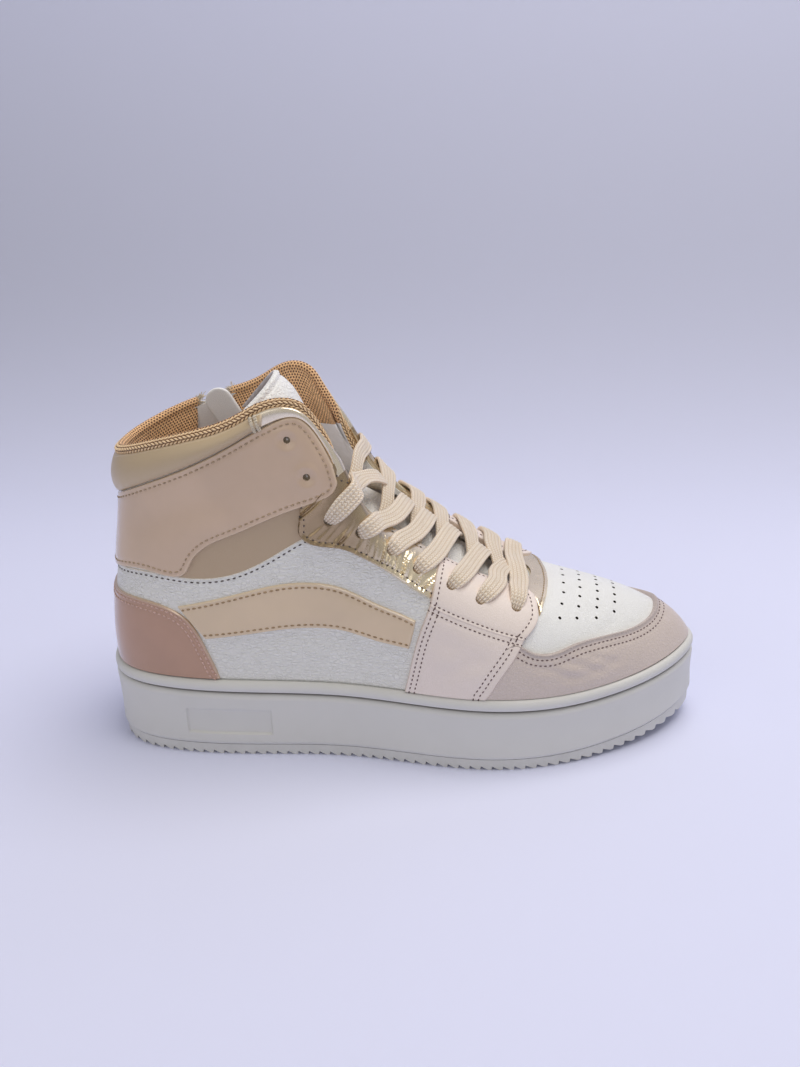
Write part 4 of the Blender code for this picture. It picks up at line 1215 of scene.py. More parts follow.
REAR_HOLES = LACE_HOLES[3:]
LACE_HOLE_RADIUS = 2.3
FRONT_HOLE_DEPTH = 2.0
RAW_COLOUR = (0.62, 0.47, 0.34)
RAW_EDGE = leather_finish("raw leather edge", RAW_COLOUR, grain=0.4, depth=0.05, Roughness=0.8)


def mirrored(ribs):
    return [Rib(-r.low_along, r.low_up, -r.high_along, r.high_up) for r in ribs]


def hole_places(holes, sign, top):
    """Points and outward directions of holes in a piece whose face lies at height top."""
    turn = np.array([sign * hole.along / 200 for hole in holes])
    up = np.array([hole.up / 100 for hole in holes])
    return shell(turn, up, top), shell_normal(turn, up)


SIDES = (("lateral", list, 1), ("medial", mirrored, -1))
panel_seams = [("low", 2.2), ("low", 4.4), ("high", 3.4), ("high", 5.6), ("end", 3.3)]
stay_seams = [("start", 1.0), ("low", 2.6), ("high", 3.2), ("end", 3.0)]
for side_name, flip, sign in SIDES:
    forefoot = panel("forefoot_leather_" + side_name, flip(FOREFOOT_PANEL), PINK_LEATHER, PANEL_TOP,
                     cut="low high", seams=panel_seams)
    settle(forefoot.piece, stands_for=("forefoot_panel_" + side_name,))
    sewn("forefoot_stitches_" + side_name, forefoot, panel_seams, **PINK_SEWING)
    stay = panel("front_stay_leather_" + side_name, flip(EYESTAY_FRONT), PINK_LEATHER, PINK_TOP,
                 cut="low high end", seams=stay_seams)
    places = hole_places(FRONT_HOLES, sign, PINK_TOP)
    punched(stay.piece, places, LACE_HOLE_RADIUS, FRONT_HOLE_DEPTH, RAW_EDGE)
    settle(stay.piece, stands_for=("eyestay_front_" + side_name,))
    sewn("front_stay_stitches_" + side_name, stay, stay_seams, **PINK_SEWING)

# Rear eyestays: gold foiled leather, creased in pleats along its low edge where it is pulled round
# the ankle, and carried as a narrow edging up the front of each ankle flap.
EYESTAY_REAR = [
    Rib(38.9, 58.5, 39.2, 66.0), Rib(38.8, 53.5, 41.0, 72.0), Rib(40.8, 50.6, 43.4, 79.5),
    Rib(45.0, 53.2, 46.8, 90.5), Rib(48.0, 55.0, 50.8, 98.2), Rib(51.5, 56.0, 56.0, 98.2),
    Rib(55.0, 56.0, 62.0, 98.2), Rib(59.8, 55.0, 70.4, 97.8),
]
FLAP_EDGING = [
    Rib(33.6, 92.4, 33.1, 98.4), Rib(36.2, 93.6, 36.0, 98.9), Rib(39.0, 95.2, 39.0, 99.0),
    Rib(42.0, 95.2, 42.8, 99.2), Rib(44.6, 92.8, 46.6, 99.2), Rib(46.2, 89.0, 49.6, 99.2),
    Rib(46.6, 83.0, 51.8, 99.2),
]
EYESTAY_TOP = 2.2
# Painted reflection: the gold foil runs from this darker colour at the rear to a brighter front
# colour towards the toe
GOLD_COLOUR = (0.42, 0.31, 0.19)
GOLD_FRONT_REFLECTION = (0.93, 0.81, 0.60)
PALE_GOLD = (0.93, 0.83, 0.67)
PLEAT_PITCH = 3.5
PLEAT_DEPTH = 1.05
PLEAT_REACH = 5.5
PLEAT_LEAN = 0.6
PLEAT_FROM = 4.0
PLEAT_RISE = 2.0
BACK_PLEAT_REACH = 8.0
GOLD_BEAD = 0.6
FRONT_END_DROP = 0.9
FRONT_END_REACH = 4.0
FOLD_DRAWN = (0.3, 0.08, 0.0)
# Run in millimetres over which the painted reflection goes from dark to bright
REFLECTION_FROM_TO = (12.0, 52.0)
REAR_HOLE_DEPTH = 2.2
EDGING_TOP = OVERLAY_TOP + 0.2
EDGING_CROWN = 0.6


def pleats(away, run, share):
    """Uneven pleats square to the low edge, deepest a little way in and smoothed out above. The low
    edge is rolled, and the front end goes down under the front eyestay."""
    low, start = away["low"], away["start"]
    reach = bell(low, PLEAT_FROM, PLEAT_REACH) * np.clip(low / PLEAT_RISE, 0, 1)
    back = bell(start, PLEAT_FROM, BACK_PLEAT_REACH) * np.clip(start / PLEAT_RISE, 0, 1)
    leaning = run - PLEAT_LEAN * low
    phase = leaning / PLEAT_PITCH + 0.35 * np.sin(leaning * 0.53) + 0.2 * np.sin(leaning * 1.3 + 1)
    ridge = bell(np.mod(phase, 1), 0.5, 0.23) * (0.7 + 0.3 * np.sin(leaning * 0.9 + 2))
    under = FRONT_END_DROP * bell(away["end"], 0.0, FRONT_END_REACH)
    return PLEAT_DEPTH * (ridge - 0.3) * np.maximum(reach, back) + edge_bead(low, GOLD_BEAD) - under


def foil_finish(name, colour, drawn_folds, front=None):
    """Metallic foil on leather: softly crinkled, duller where the foil is rubbed, and drawn into fine
    folds of the given depth square to its low edge. A front colour gives the foil a painted
    reflection, darker at the rear and brighter towards the toe."""
    made, shader, place = finish_of(name, Metallic=0.8)
    soft = noise(place, 300, 3, 0.6)
    flat = surface_of(place)
    run, rise, _ = axes_of(flat)
    streak = noise(vector_calc("MULTIPLY", flat, FOLD_DRAWN), 1.0, 2, 0.5)
    folded = calc("MULTIPLY", streak, ranged(rise, 22.0, 8.0, 0.2, 1.0))
    worn = ranged(noise(place, 120, 4, 0.7), 0.45, 0.75, 1.0, 0.9)
    # Painted reflection: darker at the rear, brighter towards the toe
    reflected_tone = tinted(ranged(run, *REFLECTION_FROM_TO), colour, front or colour)
    rubbed = {0: reflected_tone, "Scale": worn}
    base = put(place.id_data, "ShaderNodeVectorMath", rubbed, operation="SCALE").outputs[0]
    join(base, shader, "Base Color")
    join(ranged(soft, 0.25, 0.75, 0.2, 0.28), shader, "Roughness")
    join(bumped(folded, drawn_folds, bumped(soft, 0.04)), shader, "Normal")
    return made


GOLD_FOIL = foil_finish("gold foil leather", GOLD_COLOUR, drawn_folds=0.5, front=GOLD_FRONT_REFLECTION)
PALE_FOIL = foil_finish("pale gold foil leather", PALE_GOLD, drawn_folds=0.0)
GOLD_STITCH = (1.05, 0.8, 0.55)
gold_seams = [("low", 2.3), ("high", 3.2)]
for side_name, flip, sign in SIDES:
    stay = panel("rear_stay_leather_" + side_name, flip(EYESTAY_REAR), GOLD_FOIL, EYESTAY_TOP,
                 seams=gold_seams, form=pleats, pitch=0.56)
    places = hole_places(REAR_HOLES, sign, EYESTAY_TOP)
    punched(stay.piece, places, LACE_HOLE_RADIUS, REAR_HOLE_DEPTH, RAW_EDGE)
    settle(stay.piece, stands_for=("eyestay_rear_" + side_name,))
    sewn("rear_stay_stitches_" + side_name, stay, gold_seams, DARK_THREAD, "gold_leather",
         size=GOLD_STITCH)
    edging = panel("flap_edging_" + side_name, flip(FLAP_EDGING), PALE_FOIL, EDGING_TOP,
                   crown=EDGING_CROWN)
    settle(edging.piece)

# Throat tab: a rounded gold piece that closes the front of the throat and runs down under the
# front eyestays, sewn near its edge with gold thread.
TabRib = namedtuple("TabRib", "low_y high_along high_up")
THROAT_TAB = [
    TabRib(-27.0, 82.4, 84.0), TabRib(-20.0, 83.4, 91.0), TabRib(-13.0, 85.6, 96.1),
    TabRib(-5.0, 92.0, 97.5), TabRib(2.0, 100.0, 97.5), TabRib(9.0, 107.5, 97.5),
    TabRib(16.0, 114.4, 96.1), TabRib(23.0, 116.6, 91.0), TabRib(30.0, 117.6, 84.0),
]
TAB_FRONT = 66.8
TAB_MIDDLE = -3.0
TAB_BOW = 0.0072


def tab_ribs():
    """Ribs from the throat's edge to an arc across the toe box."""
    ribs = []
    for row in THROAT_TAB:
        turn, up = on_toe_box(TAB_FRONT - TAB_BOW * (row.low_y - TAB_MIDDLE) ** 2, row.low_y)
        ribs.append(Rib(turn * 200, up * 100, row.high_along, row.high_up))
    return ribs


TAB_FOIL = foil_finish("tab foil leather", (0.82, 0.70, 0.51), drawn_folds=0.0)
GOLD_THREAD = thread_finish("dull gold thread", (0.42, 0.30, 0.17))
tab_seams = [("low", 1.8)]
tab = panel("throat_tab_leather", tab_ribs(), TAB_FOIL, OVERLAY_TOP, seams=tab_seams)
settle(tab.piece, stands_for=("throat_tab",))
sewn("throat_tab_stitches", tab, tab_seams, GOLD_THREAD, "gold_leather", pitch=1.9)

# Heel counter: rose lacquered leather moulded round the heel, its low edge held in the cup. Two
# close rows of thick rose thread sew its top to the quarters.
HEEL_COUNTER = [
    Rib(25.9, 0.6, 25.6, 4.0), Rib(24.5, 0.6, 24.3, 14.0), Rib(22.3, 0.6, 22.3, 25.0),
    Rib(20.0, 0.6, 20.0, 30.0), Rib(16.2, 0.6, 16.2, 33.7), Rib(12.0, 0.6, 12.0, 35.5),
    Rib(6.0, 0.6, 6.0, 36.3), Rib(0.0, 0.6, 0.0, 36.5),
]
ROSE_COLOUR = (0.50, 0.293, 0.19)
# Paler cut rim of lacquered pieces: partly the edge's own colour, partly a painted highlight
LACQUER_EDGE_HIGHLIGHT = (0.78, 0.66, 0.5)


def lacquer_finish(name, colour, pearl):
    """Patent leather: a clear lacquer over a smooth, faintly clouded and pearly ground, and a paler
    cut rim, partly its own edge colour and partly a painted highlight.
    """
    made, shader, place = finish_of(
        name, Metallic=pearl, Coat_Weight=1.0, Coat_Roughness=0.07, Coat_IOR=1.5)
    cloudy = noise(place, 35, 3, 0.55)
    base = shaded(colour, cloudy, 0.92)
    pale = [0.5 * c + 0.5 * w for c, w in zip(colour, LACQUER_EDGE_HIGHLIGHT)]
    rim = ranged(marked(place, "rim"), 1.4, 0.2)
    join(tinted(rim, base, pale), shader, "Base Color")
    join(ranged(cloudy, 0.25, 0.75, 0.3, 0.4), shader, "Roughness")
    slack = bumped(noise(place, 70, 1), 0.18)
    join(slack, shader, "Normal")
    join(slack, shader, "Coat Normal")
    return made


ROSE_LACQUER = lacquer_finish("rose lacquered leather", ROSE_COLOUR, pearl=0.25)
ROSE_THREAD = thread_finish("rose thread", (0.80, 0.55, 0.46))
HEAVY_STITCH = (1.85, 0.9, 0.85)
counter_seams = [("high", 1.9), ("high", 4.2)]
counter = panel("heel_counter_leather", both_sides(HEEL_COUNTER), ROSE_LACQUER, OVERLAY_TOP,
                cut="high start end", seams=counter_seams)
settle(counter.piece, stands_for=("heel_counter",))
sewn("heel_counter_stitches", counter, counter_seams, ROSE_THREAD, "rose_patent", pitch=2.3,
     size=HEAVY_STITCH)

# Side band: a plain band of cream lacquered leather laid across the lateral quarter, from the heel
# counter to the forefoot panel. A row of beige stitches holds each of its long edges.
SIDE_BAND = [
    Rib(24.4, 17.5, 20.6, 31.6), Rib(30.0, 18.5, 29.0, 34.5), Rib(38.0, 20.0, 37.6, 36.5),
    Rib(46.0, 21.0, 46.6, 37.5), Rib(53.2, 21.5, 55.4, 37.5),
]
CREAM_LACQUER = lacquer_finish("cream lacquered leather", (0.765, 0.595, 0.40), pearl=0.0)
CREAM_THREAD = thread_finish("beige thread", (0.47, 0.32, 0.18))
band_seams = [("low high", 2.0)]
band = panel("side_band_leather", SIDE_BAND, CREAM_LACQUER, OVERLAY_TOP, seams=band_seams)
settle(band.piece, stands_for=("side_band",))
sewn("side_band_stitches", band, band_seams, CREAM_THREAD, "beige_patent", size=HEAVY_STITCH)

# Ankle strap: beige patent leather round the heel and over the lateral flap, with two punched
# holes left unlaced. A shorter piece of the same covers the medial flap.
ANKLE_STRAP_FRONT = [
    Rib(46.8, 82.0, 46.5, 89.0), Rib(45.6, 76.5, 44.8, 93.0), Rib(43.6, 70.5, 42.0, 95.5),
    Rib(41.0, 65.5, 39.0, 95.5), Rib(38.0, 62.0, 36.0, 93.3),
]
ANKLE_STRAP_REAR = [
    Rib(33.0, 58.6, 32.0, 91.6), Rib(27.5, 56.3, 27.0, 89.7), Rib(24.6, 53.6, 24.4, 88.6),
    Rib(23.2, 50.0, 23.2, 88.1), Rib(22.4, 46.0, 21.8, 87.5), Rib(16.4, 46.7, 16.4, 85.2),
    Rib(8.0, 46.7, 8.0, 81.4), Rib(0.0, 46.7, 0.0, 79.3), Rib(-8.0, 46.7, -8.0, 80.4),
    Rib(-20.0, 46.7, -15.0, 82.4), Rib(-30.0, 46.7, -21.6, 84.7),
]
ANKLE_STRAP_MEDIAL = [Rib(36.5, 61.5, 30.0, 88.8), Rib(37.3, 61.8, 33.5, 91.0)]
ANKLE_EYELETS = [Spot(38.0, 87.0), Spot(40.6, 75.0)]
ANKLE_EYELET_RADIUS = 1.5
ANKLE_EYELET_DEPTH = 1.6
STRAP_TOP = 1.75
STRAP_PADDING = 0.35
STRAP_LIFT = 0.95
STRAP_LIFT_RUN = 38.0
DENT_DEPTH = 0.9
DENT_HALF = 2.4
DENT_RING = 0.3
DENT_RING_AT = 4.4
DENT_RING_HALF = 1.2
PATENT_COLOUR = (0.685, 0.50, 0.35)


def dished(away, run, share):
    """The strap's padding, and its lift where it lies over the rear eyestay."""
    lift = STRAP_LIFT * np.clip(1 - away["start"] / STRAP_LIFT_RUN, 0, 1)
    return STRAP_PADDING * np.sin(np.pi * share) ** 0.6 + lift


def dented(piece, points):
    """Presses the leather in round punched holes, which leaves a faint ring about each."""
    spots = np.empty(len(piece.data.vertices) * 3, np.float32)
    piece.data.vertices.foreach_get("co", spots)
    spots = spots.reshape(-1, 3) / MM
    outs = np.empty_like(spots)
    piece.data.vertices.foreach_get("normal", outs.ravel())
    away, _ = away_from(spots, points)
    ring = DENT_RING * bell(away, DENT_RING_AT, DENT_RING_HALF)
    press = ring - DENT_DEPTH * bell(away, 0.0, DENT_HALF)
    pressed = (spots + outs * press[:, None]) * MM
    piece.data.vertices.foreach_set("co", pressed.astype(np.float32).ravel())


PATENT = lacquer_finish("beige patent leather", PATENT_COLOUR, pearl=0.0)
STRAP_THREAD = thread_finish("pale beige thread", (0.56, 0.41, 0.27))
strap_seams = [("low high start end", 2.4)]
straps = {
    "ankle_strap": (ANKLE_STRAP_FRONT + ANKLE_STRAP_REAR, 1),
    "ankle_strap_medial": (mirrored(ANKLE_STRAP_FRONT + ANKLE_STRAP_MEDIAL[::-1]), -1),
}
for strap_name, (ribs, sign) in straps.items():
    strap = panel(strap_name + "_leather", ribs, PATENT, STRAP_TOP, seams=strap_seams, form=dished)
    places = hole_places(ANKLE_EYELETS, sign, STRAP_TOP)
    dented(strap.piece, places[0])
    punched(strap.piece, places, ANKLE_EYELET_RADIUS, ANKLE_EYELET_DEPTH, RAW_EDGE)
    settle(strap.piece, stands_for=(strap_name,))
    sewn(strap_name + "_stitches", strap, strap_seams, STRAP_THREAD, "beige_patent",
         size=HEAVY_STITCH)

# Collar pad: satin beige leather over foam, a soft roll round the back of the collar. It is caught
# under the strap along its low edge and under the binding along its rim.
COLLAR_PAD = [
    Rib(34.4, 92.9, 34.6, 98.4), Rib(30.0, 91.1, 30.0, 97.6), Rib(26.5, 89.8, 26.5, 97.8),
    Rib(23.2, 88.4, 23.2, 98.7), Rib(16.4, 85.5, 16.4, 99.5), Rib(8.0, 81.7, 8.0, 99.6),
    Rib(0.0, 79.6, 0.0, 99.6), Rib(-8.0, 80.7, -8.0, 99.6), Rib(-14.0, 82.4, -13.5, 99.6),
    Rib(-20.6, 85.2, -18.2, 99.5),
]
PAD_TOP = 0.9
PAD_CROWN = 3.3
PAD_COLOUR = (0.58, 0.447, 0.283)


def padded_roll(away, run, share):
    """The roll's belly, fuller below its middle, with faint puckers along the strap's seam."""
    pucker = 0.10 * np.sin(run * 1.1 + 0.8 * np.sin(run * 0.37)) * np.exp(-away["low"] / 2.5)
    return PAD_CROWN * np.sin(np.pi * share**0.85) ** 0.65 + pucker


SATIN_BEIGE = leather_finish("satin beige leather", PAD_COLOUR, grain=0.5, depth=0.018,
                             Roughness=0.34, Coat_Weight=0.2, Coat_Roughness=0.3)
pad = panel("collar_roll", COLLAR_PAD, SATIN_BEIGE, PAD_TOP, form=padded_roll)
settle(pad.piece, stands_for=("collar_pad",))

# Collar binding: a tan knitted cord folded over the raw collar edge, its yarns lying in rows of
# slanting beads. It is thick round the heel, finer down the flaps, and parted by the zip.
BINDING_PARTS = {"collar_binding": (-18.8, 57.0), "collar_binding_medial": (-57.0, -24.0)}
BRAID_PITCH = 1.9
BRAID_DEPTH = 0.46
BRAID_ROW = 0.785
BRAID_SLANT = 0.9
CORD_COLOUR = (0.96, 0.71, 0.43)
CORD_GAP_SHADE = (0.30, 0.20, 0.15)


def yarn_finish(name, colour):
    """Thick soft yarn: fuzzy, with painted shade down between the yarns."""
    made, shader, place = finish_of(name, Roughness=0.85, Sheen_Weight=0.35)
    fuzz = noise(place, 1900, 3, 0.6)
    # Painted shade down between the yarns
    deep = [c * share for c, share in zip(colour, CORD_GAP_SHADE)]
    lit = ranged(marked(place, "yarn"), 0.3, 0.9)
    join(tinted(lit, deep, shaded(colour, fuzz, 0.82, 1.12)), shader, "Base Color")
    join(bumped(fuzz, 0.12), shader, "Normal")
    return made


CORD_YARN = yarn_finish("tan knitted cord", CORD_COLOUR)


def knitted_edge(name, first, last):
    """A cord round the collar edge, its yarns slanting one way and the other in turn."""
    along = np.linspace(first, last, int((last - first) * 11.5))[:, None]
    turn = along / 200
    run = run_of(shell_point(turn[:, 0], 1.0))[:, None]
    angle = np.linspace(0, 2 * np.pi, 48, endpoint=False)[None, :] + 0 * along
    tilt = np.mod(angle - np.pi / 2 + np.pi, 2 * np.pi) - np.pi
    row = np.floor(tilt / BRAID_ROW)
    aside = tilt / BRAID_ROW - row - 0.5
    hand = np.where(np.mod(row, 2) == 0, 1.0, -1.0)
    phase = np.mod(run / BRAID_PITCH + hand * BRAID_SLANT * aside + 0.25 * hand, 1)
    long = np.clip(1.12 * (1 - (2 * phase - 1) ** 2), 0, 1) ** 0.8
    bead = long * np.sqrt(np.clip(1 - (2 * aside) ** 4, 0, 1))
    close = rounded(np.minimum(run, run[-1] - run), END_ROUNDING) * 0.95 + 0.05
    reach = (edge_size(along) + BRAID_DEPTH * (bead - 0.62)) * close
    rings = edge_ring(turn + 0 * angle, angle, reach)
    made = piece_of(name + "_cord", rings.reshape(-1, 3), ring_faces(rings), CORD_YARN,
                    marks={"yarn": bead}, sharp=1.2)
    settle(made, stands_for=(name,))


for binding_name, (first, last) in BINDING_PARTS.items():
    knitted_edge(binding_name, first, last)

# Corner bars: two bars of heavy cream thread at the corner of each ankle flap, sewn over and over.
# They lock the pad, edging and binding together.
BAR_SPOTS = [Spot(33.0, 97.9), Spot(33.7, 92.4)]
BAR_GAP = 0.75
BAR_SIZE = (1.5, 1.9, 1.3)
BAR_PITCH = 0.9
BAR_LIFT = 2.9
BAR_BOW = 0.9
CREAM_BAR = thread_finish("heavy cream thread", (0.80, 0.70, 0.54))


def open_line(points, outs):
    """A line through points in their order, for beads to follow."""
    return points, [(i, i + 1) for i in range(len(points) - 1)], outs


def corner_bar(name, sign):
    share = np.linspace(0, 1, 16)
    up = np.interp(share, (0, 1), [spot.up for spot in BAR_SPOTS]) / 100
    lift = BAR_LIFT + BAR_BOW * np.sin(np.pi * share)
    lines = []
    for shift in (-BAR_GAP / 2, BAR_GAP / 2):
        along = np.interp(share, (0, 1), [spot.along + shift for spot in BAR_SPOTS])
        turn = sign * along / 200
        lines.append(open_line(shell(turn, up, lift), shell_normal(turn, up)))
    beaded(name, lines, CREAM_BAR, BAR_PITCH, BAR_SIZE)


corner_bar("corner_bar_lateral", 1)
corner_bar("corner_bar_medial", -1)

# Zip: white woven tape with a moulded coil, sewn down the medial side from the collar. Behind it a
# white facing closes the gap in the lining, and a strip with a round top guards the ankle. The cut
# ends of lining and cord beside it are frayed.
ZIP_TAPE = [
    Rib(-18.7, 98.4, -22.9, 98.4), Rib(-22.5, 82.0, -26.7, 82.0), Rib(-26.7, 63.0, -30.9, 63.0),
    Rib(-30.7, 46.0, -34.9, 46.0), Rib(-34.2, 30.0, -38.4, 30.0), Rib(-37.6, 17.0, -41.8, 17.0),
]
TAPE_TOP = 1.1
TAPE_COLOUR = (0.80, 0.80, 0.80)
TOOTH_PITCH = 1.35
TOOTH_SIZE = (0.95, 3.0, 1.5)
TOOTH_ASIDE = 1.05
TOOTH_LIFT = 1.5
FACING = [
    Rib(-15.2, 99.0, -26.4, 99.0), Rib(-16.5, 88.0, -27.4, 88.0), Rib(-19.0, 75.0, -29.6, 75.0),
    Rib(-23.5, 58.0, -33.0, 58.0), Rib(-28.0, 42.0, -36.5, 42.0), Rib(-31.8, 28.0, -39.0, 28.0),
]
FACING_DEPTH = 1.4
GUARD_HALF = 6.2
GUARD_LENGTH = 62.0
GUARD_RISE = 7.5
GUARD_AHEAD = np.array((4.6, 0.0, 0.0))
GUARD_LIFT = 3.0
GUARD_THICKNESS = 1.8
GUARD_ROUNDING = 0.9
GUARD_COLOUR = (0.93, 0.92, 0.93)
FRAY_SPOTS = (-18.3, -24.5)
FRAY_COUNT = 70
FRAY_SIZE = (0.9, 0.26, 0.26)
FRAY_PITCH = 0.6
FRAY_STEPS = 5
FRAY_SEED = 11
SLIDER_BEVEL = 0.35


def enamel_finish(name, colour):
    """Zinc casting under white enamel, faintly wavy and a little grey in patches."""
    made, shader, place = finish_of(name, Coat_Weight=0.8, Coat_Roughness=0.1)
    patch = noise(place, 220, 3)
    join(shaded(colour, patch, 0.92), shader, "Base Color")
    join(ranged(patch, 0.3, 0.7, 0.22, 0.34), shader, "Roughness")
    join(bumped(noise(place, 400, 2), 0.04), shader, "Normal")
    return made


ENAMEL = enamel_finish("white enamel", (0.84, 0.84, 0.85))
GUARD_LEATHER = leather_finish("pale guard leather", GUARD_COLOUR, grain=0.6, depth=0.05,
                               Roughness=0.5)
TAPE_CLOTH = woven_finish("white zip tape", TAPE_COLOUR, pitch=0.8, depth=0.1)
WHITE_THREAD = thread_finish("white thread", (0.74, 0.74, 0.72))
tape_seams = [("low high", 1.5)]
tape = panel("zip_tape_cloth", ZIP_TAPE, TAPE_CLOTH, TAPE_TOP, seams=tape_seams, rounding=0.4)
settle(tape.piece, stands_for=("zip_tape",))
sewn("zip_tape_stitches", tape, tape_seams, WHITE_THREAD, "zip_cloth")


def zip_teeth():
    """Two rows of coil loops that meet along the middle of the tape."""
    turn, up = (side[:, 0] for side in between(through(ZIP_TAPE)(np.linspace(0, 1, 90)), 0.5))
    normal = shell_normal(turn, up)
    centre = shell(turn, up, TOOTH_LIFT)
    across = unit(np.cross(normal, np.gradient(centre, axis=0)))
    run = run_of(centre)
    lines = []
    for side, start in ((-TOOTH_ASIDE, 0.0), (TOOTH_ASIDE, TOOTH_PITCH / 2)):
        kept = run >= start
        lines.append(open_line((centre + across * side)[kept], normal[kept]))
    beaded("zip_coil", lines, ENAMEL, TOOTH_PITCH, TOOTH_SIZE)


zip_teeth()


def zip_facing():
    """White leather behind the tape, inside the shoe, where the lining is cut away."""
    share = np.linspace(0, 1, 24)[None, :]
    turn, up = between(through(FACING)(np.linspace(0, 1, 70)), share)
    swell = FACING_DEPTH * np.sin(np.pi * share) ** 0.5 + 0.3 + 0 * turn
    face = shell(turn, up, -UPPER_WALL - swell)
    back = shell(turn, up, np.full(swell.shape, 0.03 - UPPER_WALL))
    made = slab("zip_facing", face, back, GUARD_LEATHER, marks={"rim": np.full(turn.shape, UNCUT)})
    settle(made)


def zip_guard():
    """The strip down the inside of the zip, its top end cut round."""
    down = (1 - np.cos(np.linspace(0, np.pi / 2, 40))) * GUARD_LENGTH
    table = np.array(ZIP_TAPE).reshape(-1, 2, 2).mean(axis=1)
    centre = shell_point(table[:, 0] / 200, table[:, 1] / 100)
    inside = np.maximum(down - GUARD_RISE, 0)
    along = np.interp(inside, run_of(centre), table[:, 0])
    up = np.interp(inside, run_of(centre), table[:, 1] / 100)
    arch = np.sqrt(np.clip(GUARD_HALF**2 - (GUARD_HALF - down) ** 2, 0.01, None))
    half = np.where(down < GUARD_HALF, arch, GUARD_HALF)[:, None]
    normal = shell_normal(along / 200, up)
    above = np.maximum(GUARD_RISE - down, 0)[:, None] * unit(centre[0] - centre[1])
    middle = shell_point(along / 200, up) + above + GUARD_AHEAD
    side = unit(np.cross(normal, np.gradient(middle, axis=0)))
    across = np.sin(np.linspace(-np.pi / 2, np.pi / 2, 19))[None, :]
    flat = middle[:, None, :] + side[:, None, :] * (across * half)[..., None]
    rim = np.minimum(half * (1 - np.abs(across)), down[:, None])
    soft = rounded(rim, GUARD_ROUNDING) * GUARD_THICKNESS / 2
    lift = UPPER_WALL + GUARD_LIFT + GUARD_THICKNESS / 2
    face, back = (flat - normal[:, None, :] * deep[..., None] for deep in (lift + soft, lift - soft))
    made = slab("zip_guard", face, back, GUARD_LEATHER, marks={"rim": np.full(rim.shape, UNCUT)})
    settle(made)


def frayed_ends():
    """Loose fibres standing out of the lining and cord where they are cut."""
    chance = np.random.RandomState(FRAY_SEED)
    lines = []
    for along in FRAY_SPOTS:
        inward = -1 if along > np.mean(FRAY_SPOTS) else 1
        for _ in range(FRAY_COUNT):
            angle = np.array(chance.uniform(0.2, np.pi + 0.6))
            turn = np.array((along + chance.uniform(-0.5, 0.9) * inward) / 200)
            root = edge_ring(turn, angle, np.array(chance.uniform(0.5, 1.05)))
            lean = unit(root - edge_ring(turn, angle, np.array(0.0)))
            sideways = unit(shell_point(turn + SMALL * inward, 1.0) - shell_point(turn, 1.0))
            way = lean * 0.8 + sideways * chance.uniform(0.3, 1.6) + chance.normal(0, 0.35, 3)
            bend = chance.normal(0, 0.35, 3)
            reach = np.linspace(0, chance.uniform(0.9, 2.4), FRAY_STEPS)[:, None]
            fibre = root + unit(way) * reach + bend * reach**2 / 3
            lines.append(open_line(fibre, np.tile(lean, (FRAY_STEPS, 1))))
    beaded("frayed_ends", lines, CREAM_BAR, FRAY_PITCH, FRAY_SIZE)


zip_facing()
zip_guard()
frayed_ends()


def softened(node, name, body):
    """The node's own solid with its edges rounded and enamelled."""
    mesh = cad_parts[node].data.copy()
    mesh.name = name
    work = bmesh.new()
    work.from_mesh(mesh)
    bmesh.ops.remove_doubles(work, verts=work.verts, dist=1e-6)
    bmesh.ops.dissolve_limit(work, angle_limit=0.02, verts=work.verts, edges=work.edges)
    bmesh.ops.bevel(work, geom=list(work.edges), offset=SLIDER_BEVEL * MM, segments=3, profile=0.6,
                    affect="EDGES", clamp_overlap=True)
    bmesh.ops.recalc_face_normals(work, faces=work.faces)
    work.to_mesh(mesh)
    work.free()
    mesh.materials.clear()
    mesh.materials.append(ENAMEL)
    mesh.shade_smooth()
    mesh.set_sharp_from_angle(angle=0.8)
    settle(linked(name, mesh), body, (node,))


softened("zip_slider", "zip_slider_casting", "shoe")
softened("zip_pull", "zip_pull_tab", "pull")

# Tongue: white leather over thin foam, edged with a rolled piping, sewn in at the toe end of the
# throat. Its top stands up as an arch behind the laces.
TongueRow = namedtuple("TongueRow", "x z half sag")
TONGUE = [
    TongueRow(53.0, 66.0, 20.0, 5.5), TongueRow(40.0, 74.5, 24.0, 6.2),
    TongueRow(26.0, 84.5, 26.5, 6.8), TongueRow(10.0, 95.5, 28.0, 7.2),
    TongueRow(-4.0, 106.5, 26.5, 7.6), TongueRow(-15.0, 118.5, 24.0, 8.8),
    TongueRow(-23.5, 131.5, 22.5, 10.8), TongueRow(-32.5, 146.5, 22.0, 13.5),
    TongueRow(-40.4, 157.5, 22.0, 16.0), TongueRow(-47.6, 165.0, 22.0, 18.0),
]
TONGUE_THICKNESS = 3.0
TONGUE_EDGE = 1.5
TONGUE_CURL = (3.0, 12.0)
TONGUE_LEAN = 1.1
TONGUE_SINK_AT = (0.0, 0.42, 0.6, 0.72, 0.84, 0.93, 1.0)
TONGUE_SINK = (0.0, 0.0, 5.6, 6.0, 2.8, 0.4, 0.0)
TONGUE_FOAM = 0.5
TONGUE_THINNING = 0.4
PIPING_AT = 1.5
PIPING_HALF = 0.9
PIPING_RISE = 0.55
PIPING_GROOVE = 3.3
PIPING_GROOVE_DEPTH = 0.4
PIPING_GROOVE_HALF = 0.5
TONGUE_COLOUR = (0.95, 0.945, 0.93)
TONGUE_ROWS = np.array(TONGUE)
TONGUE_AT = spline(chord_knots(TONGUE_ROWS[:, :2]), TONGUE_ROWS)
TONGUE_WHITE = leather_finish("white tongue leather", TONGUE_COLOUR, grain=1.9, depth=0.22,
                              hollow=0.92, Roughness=0.4)


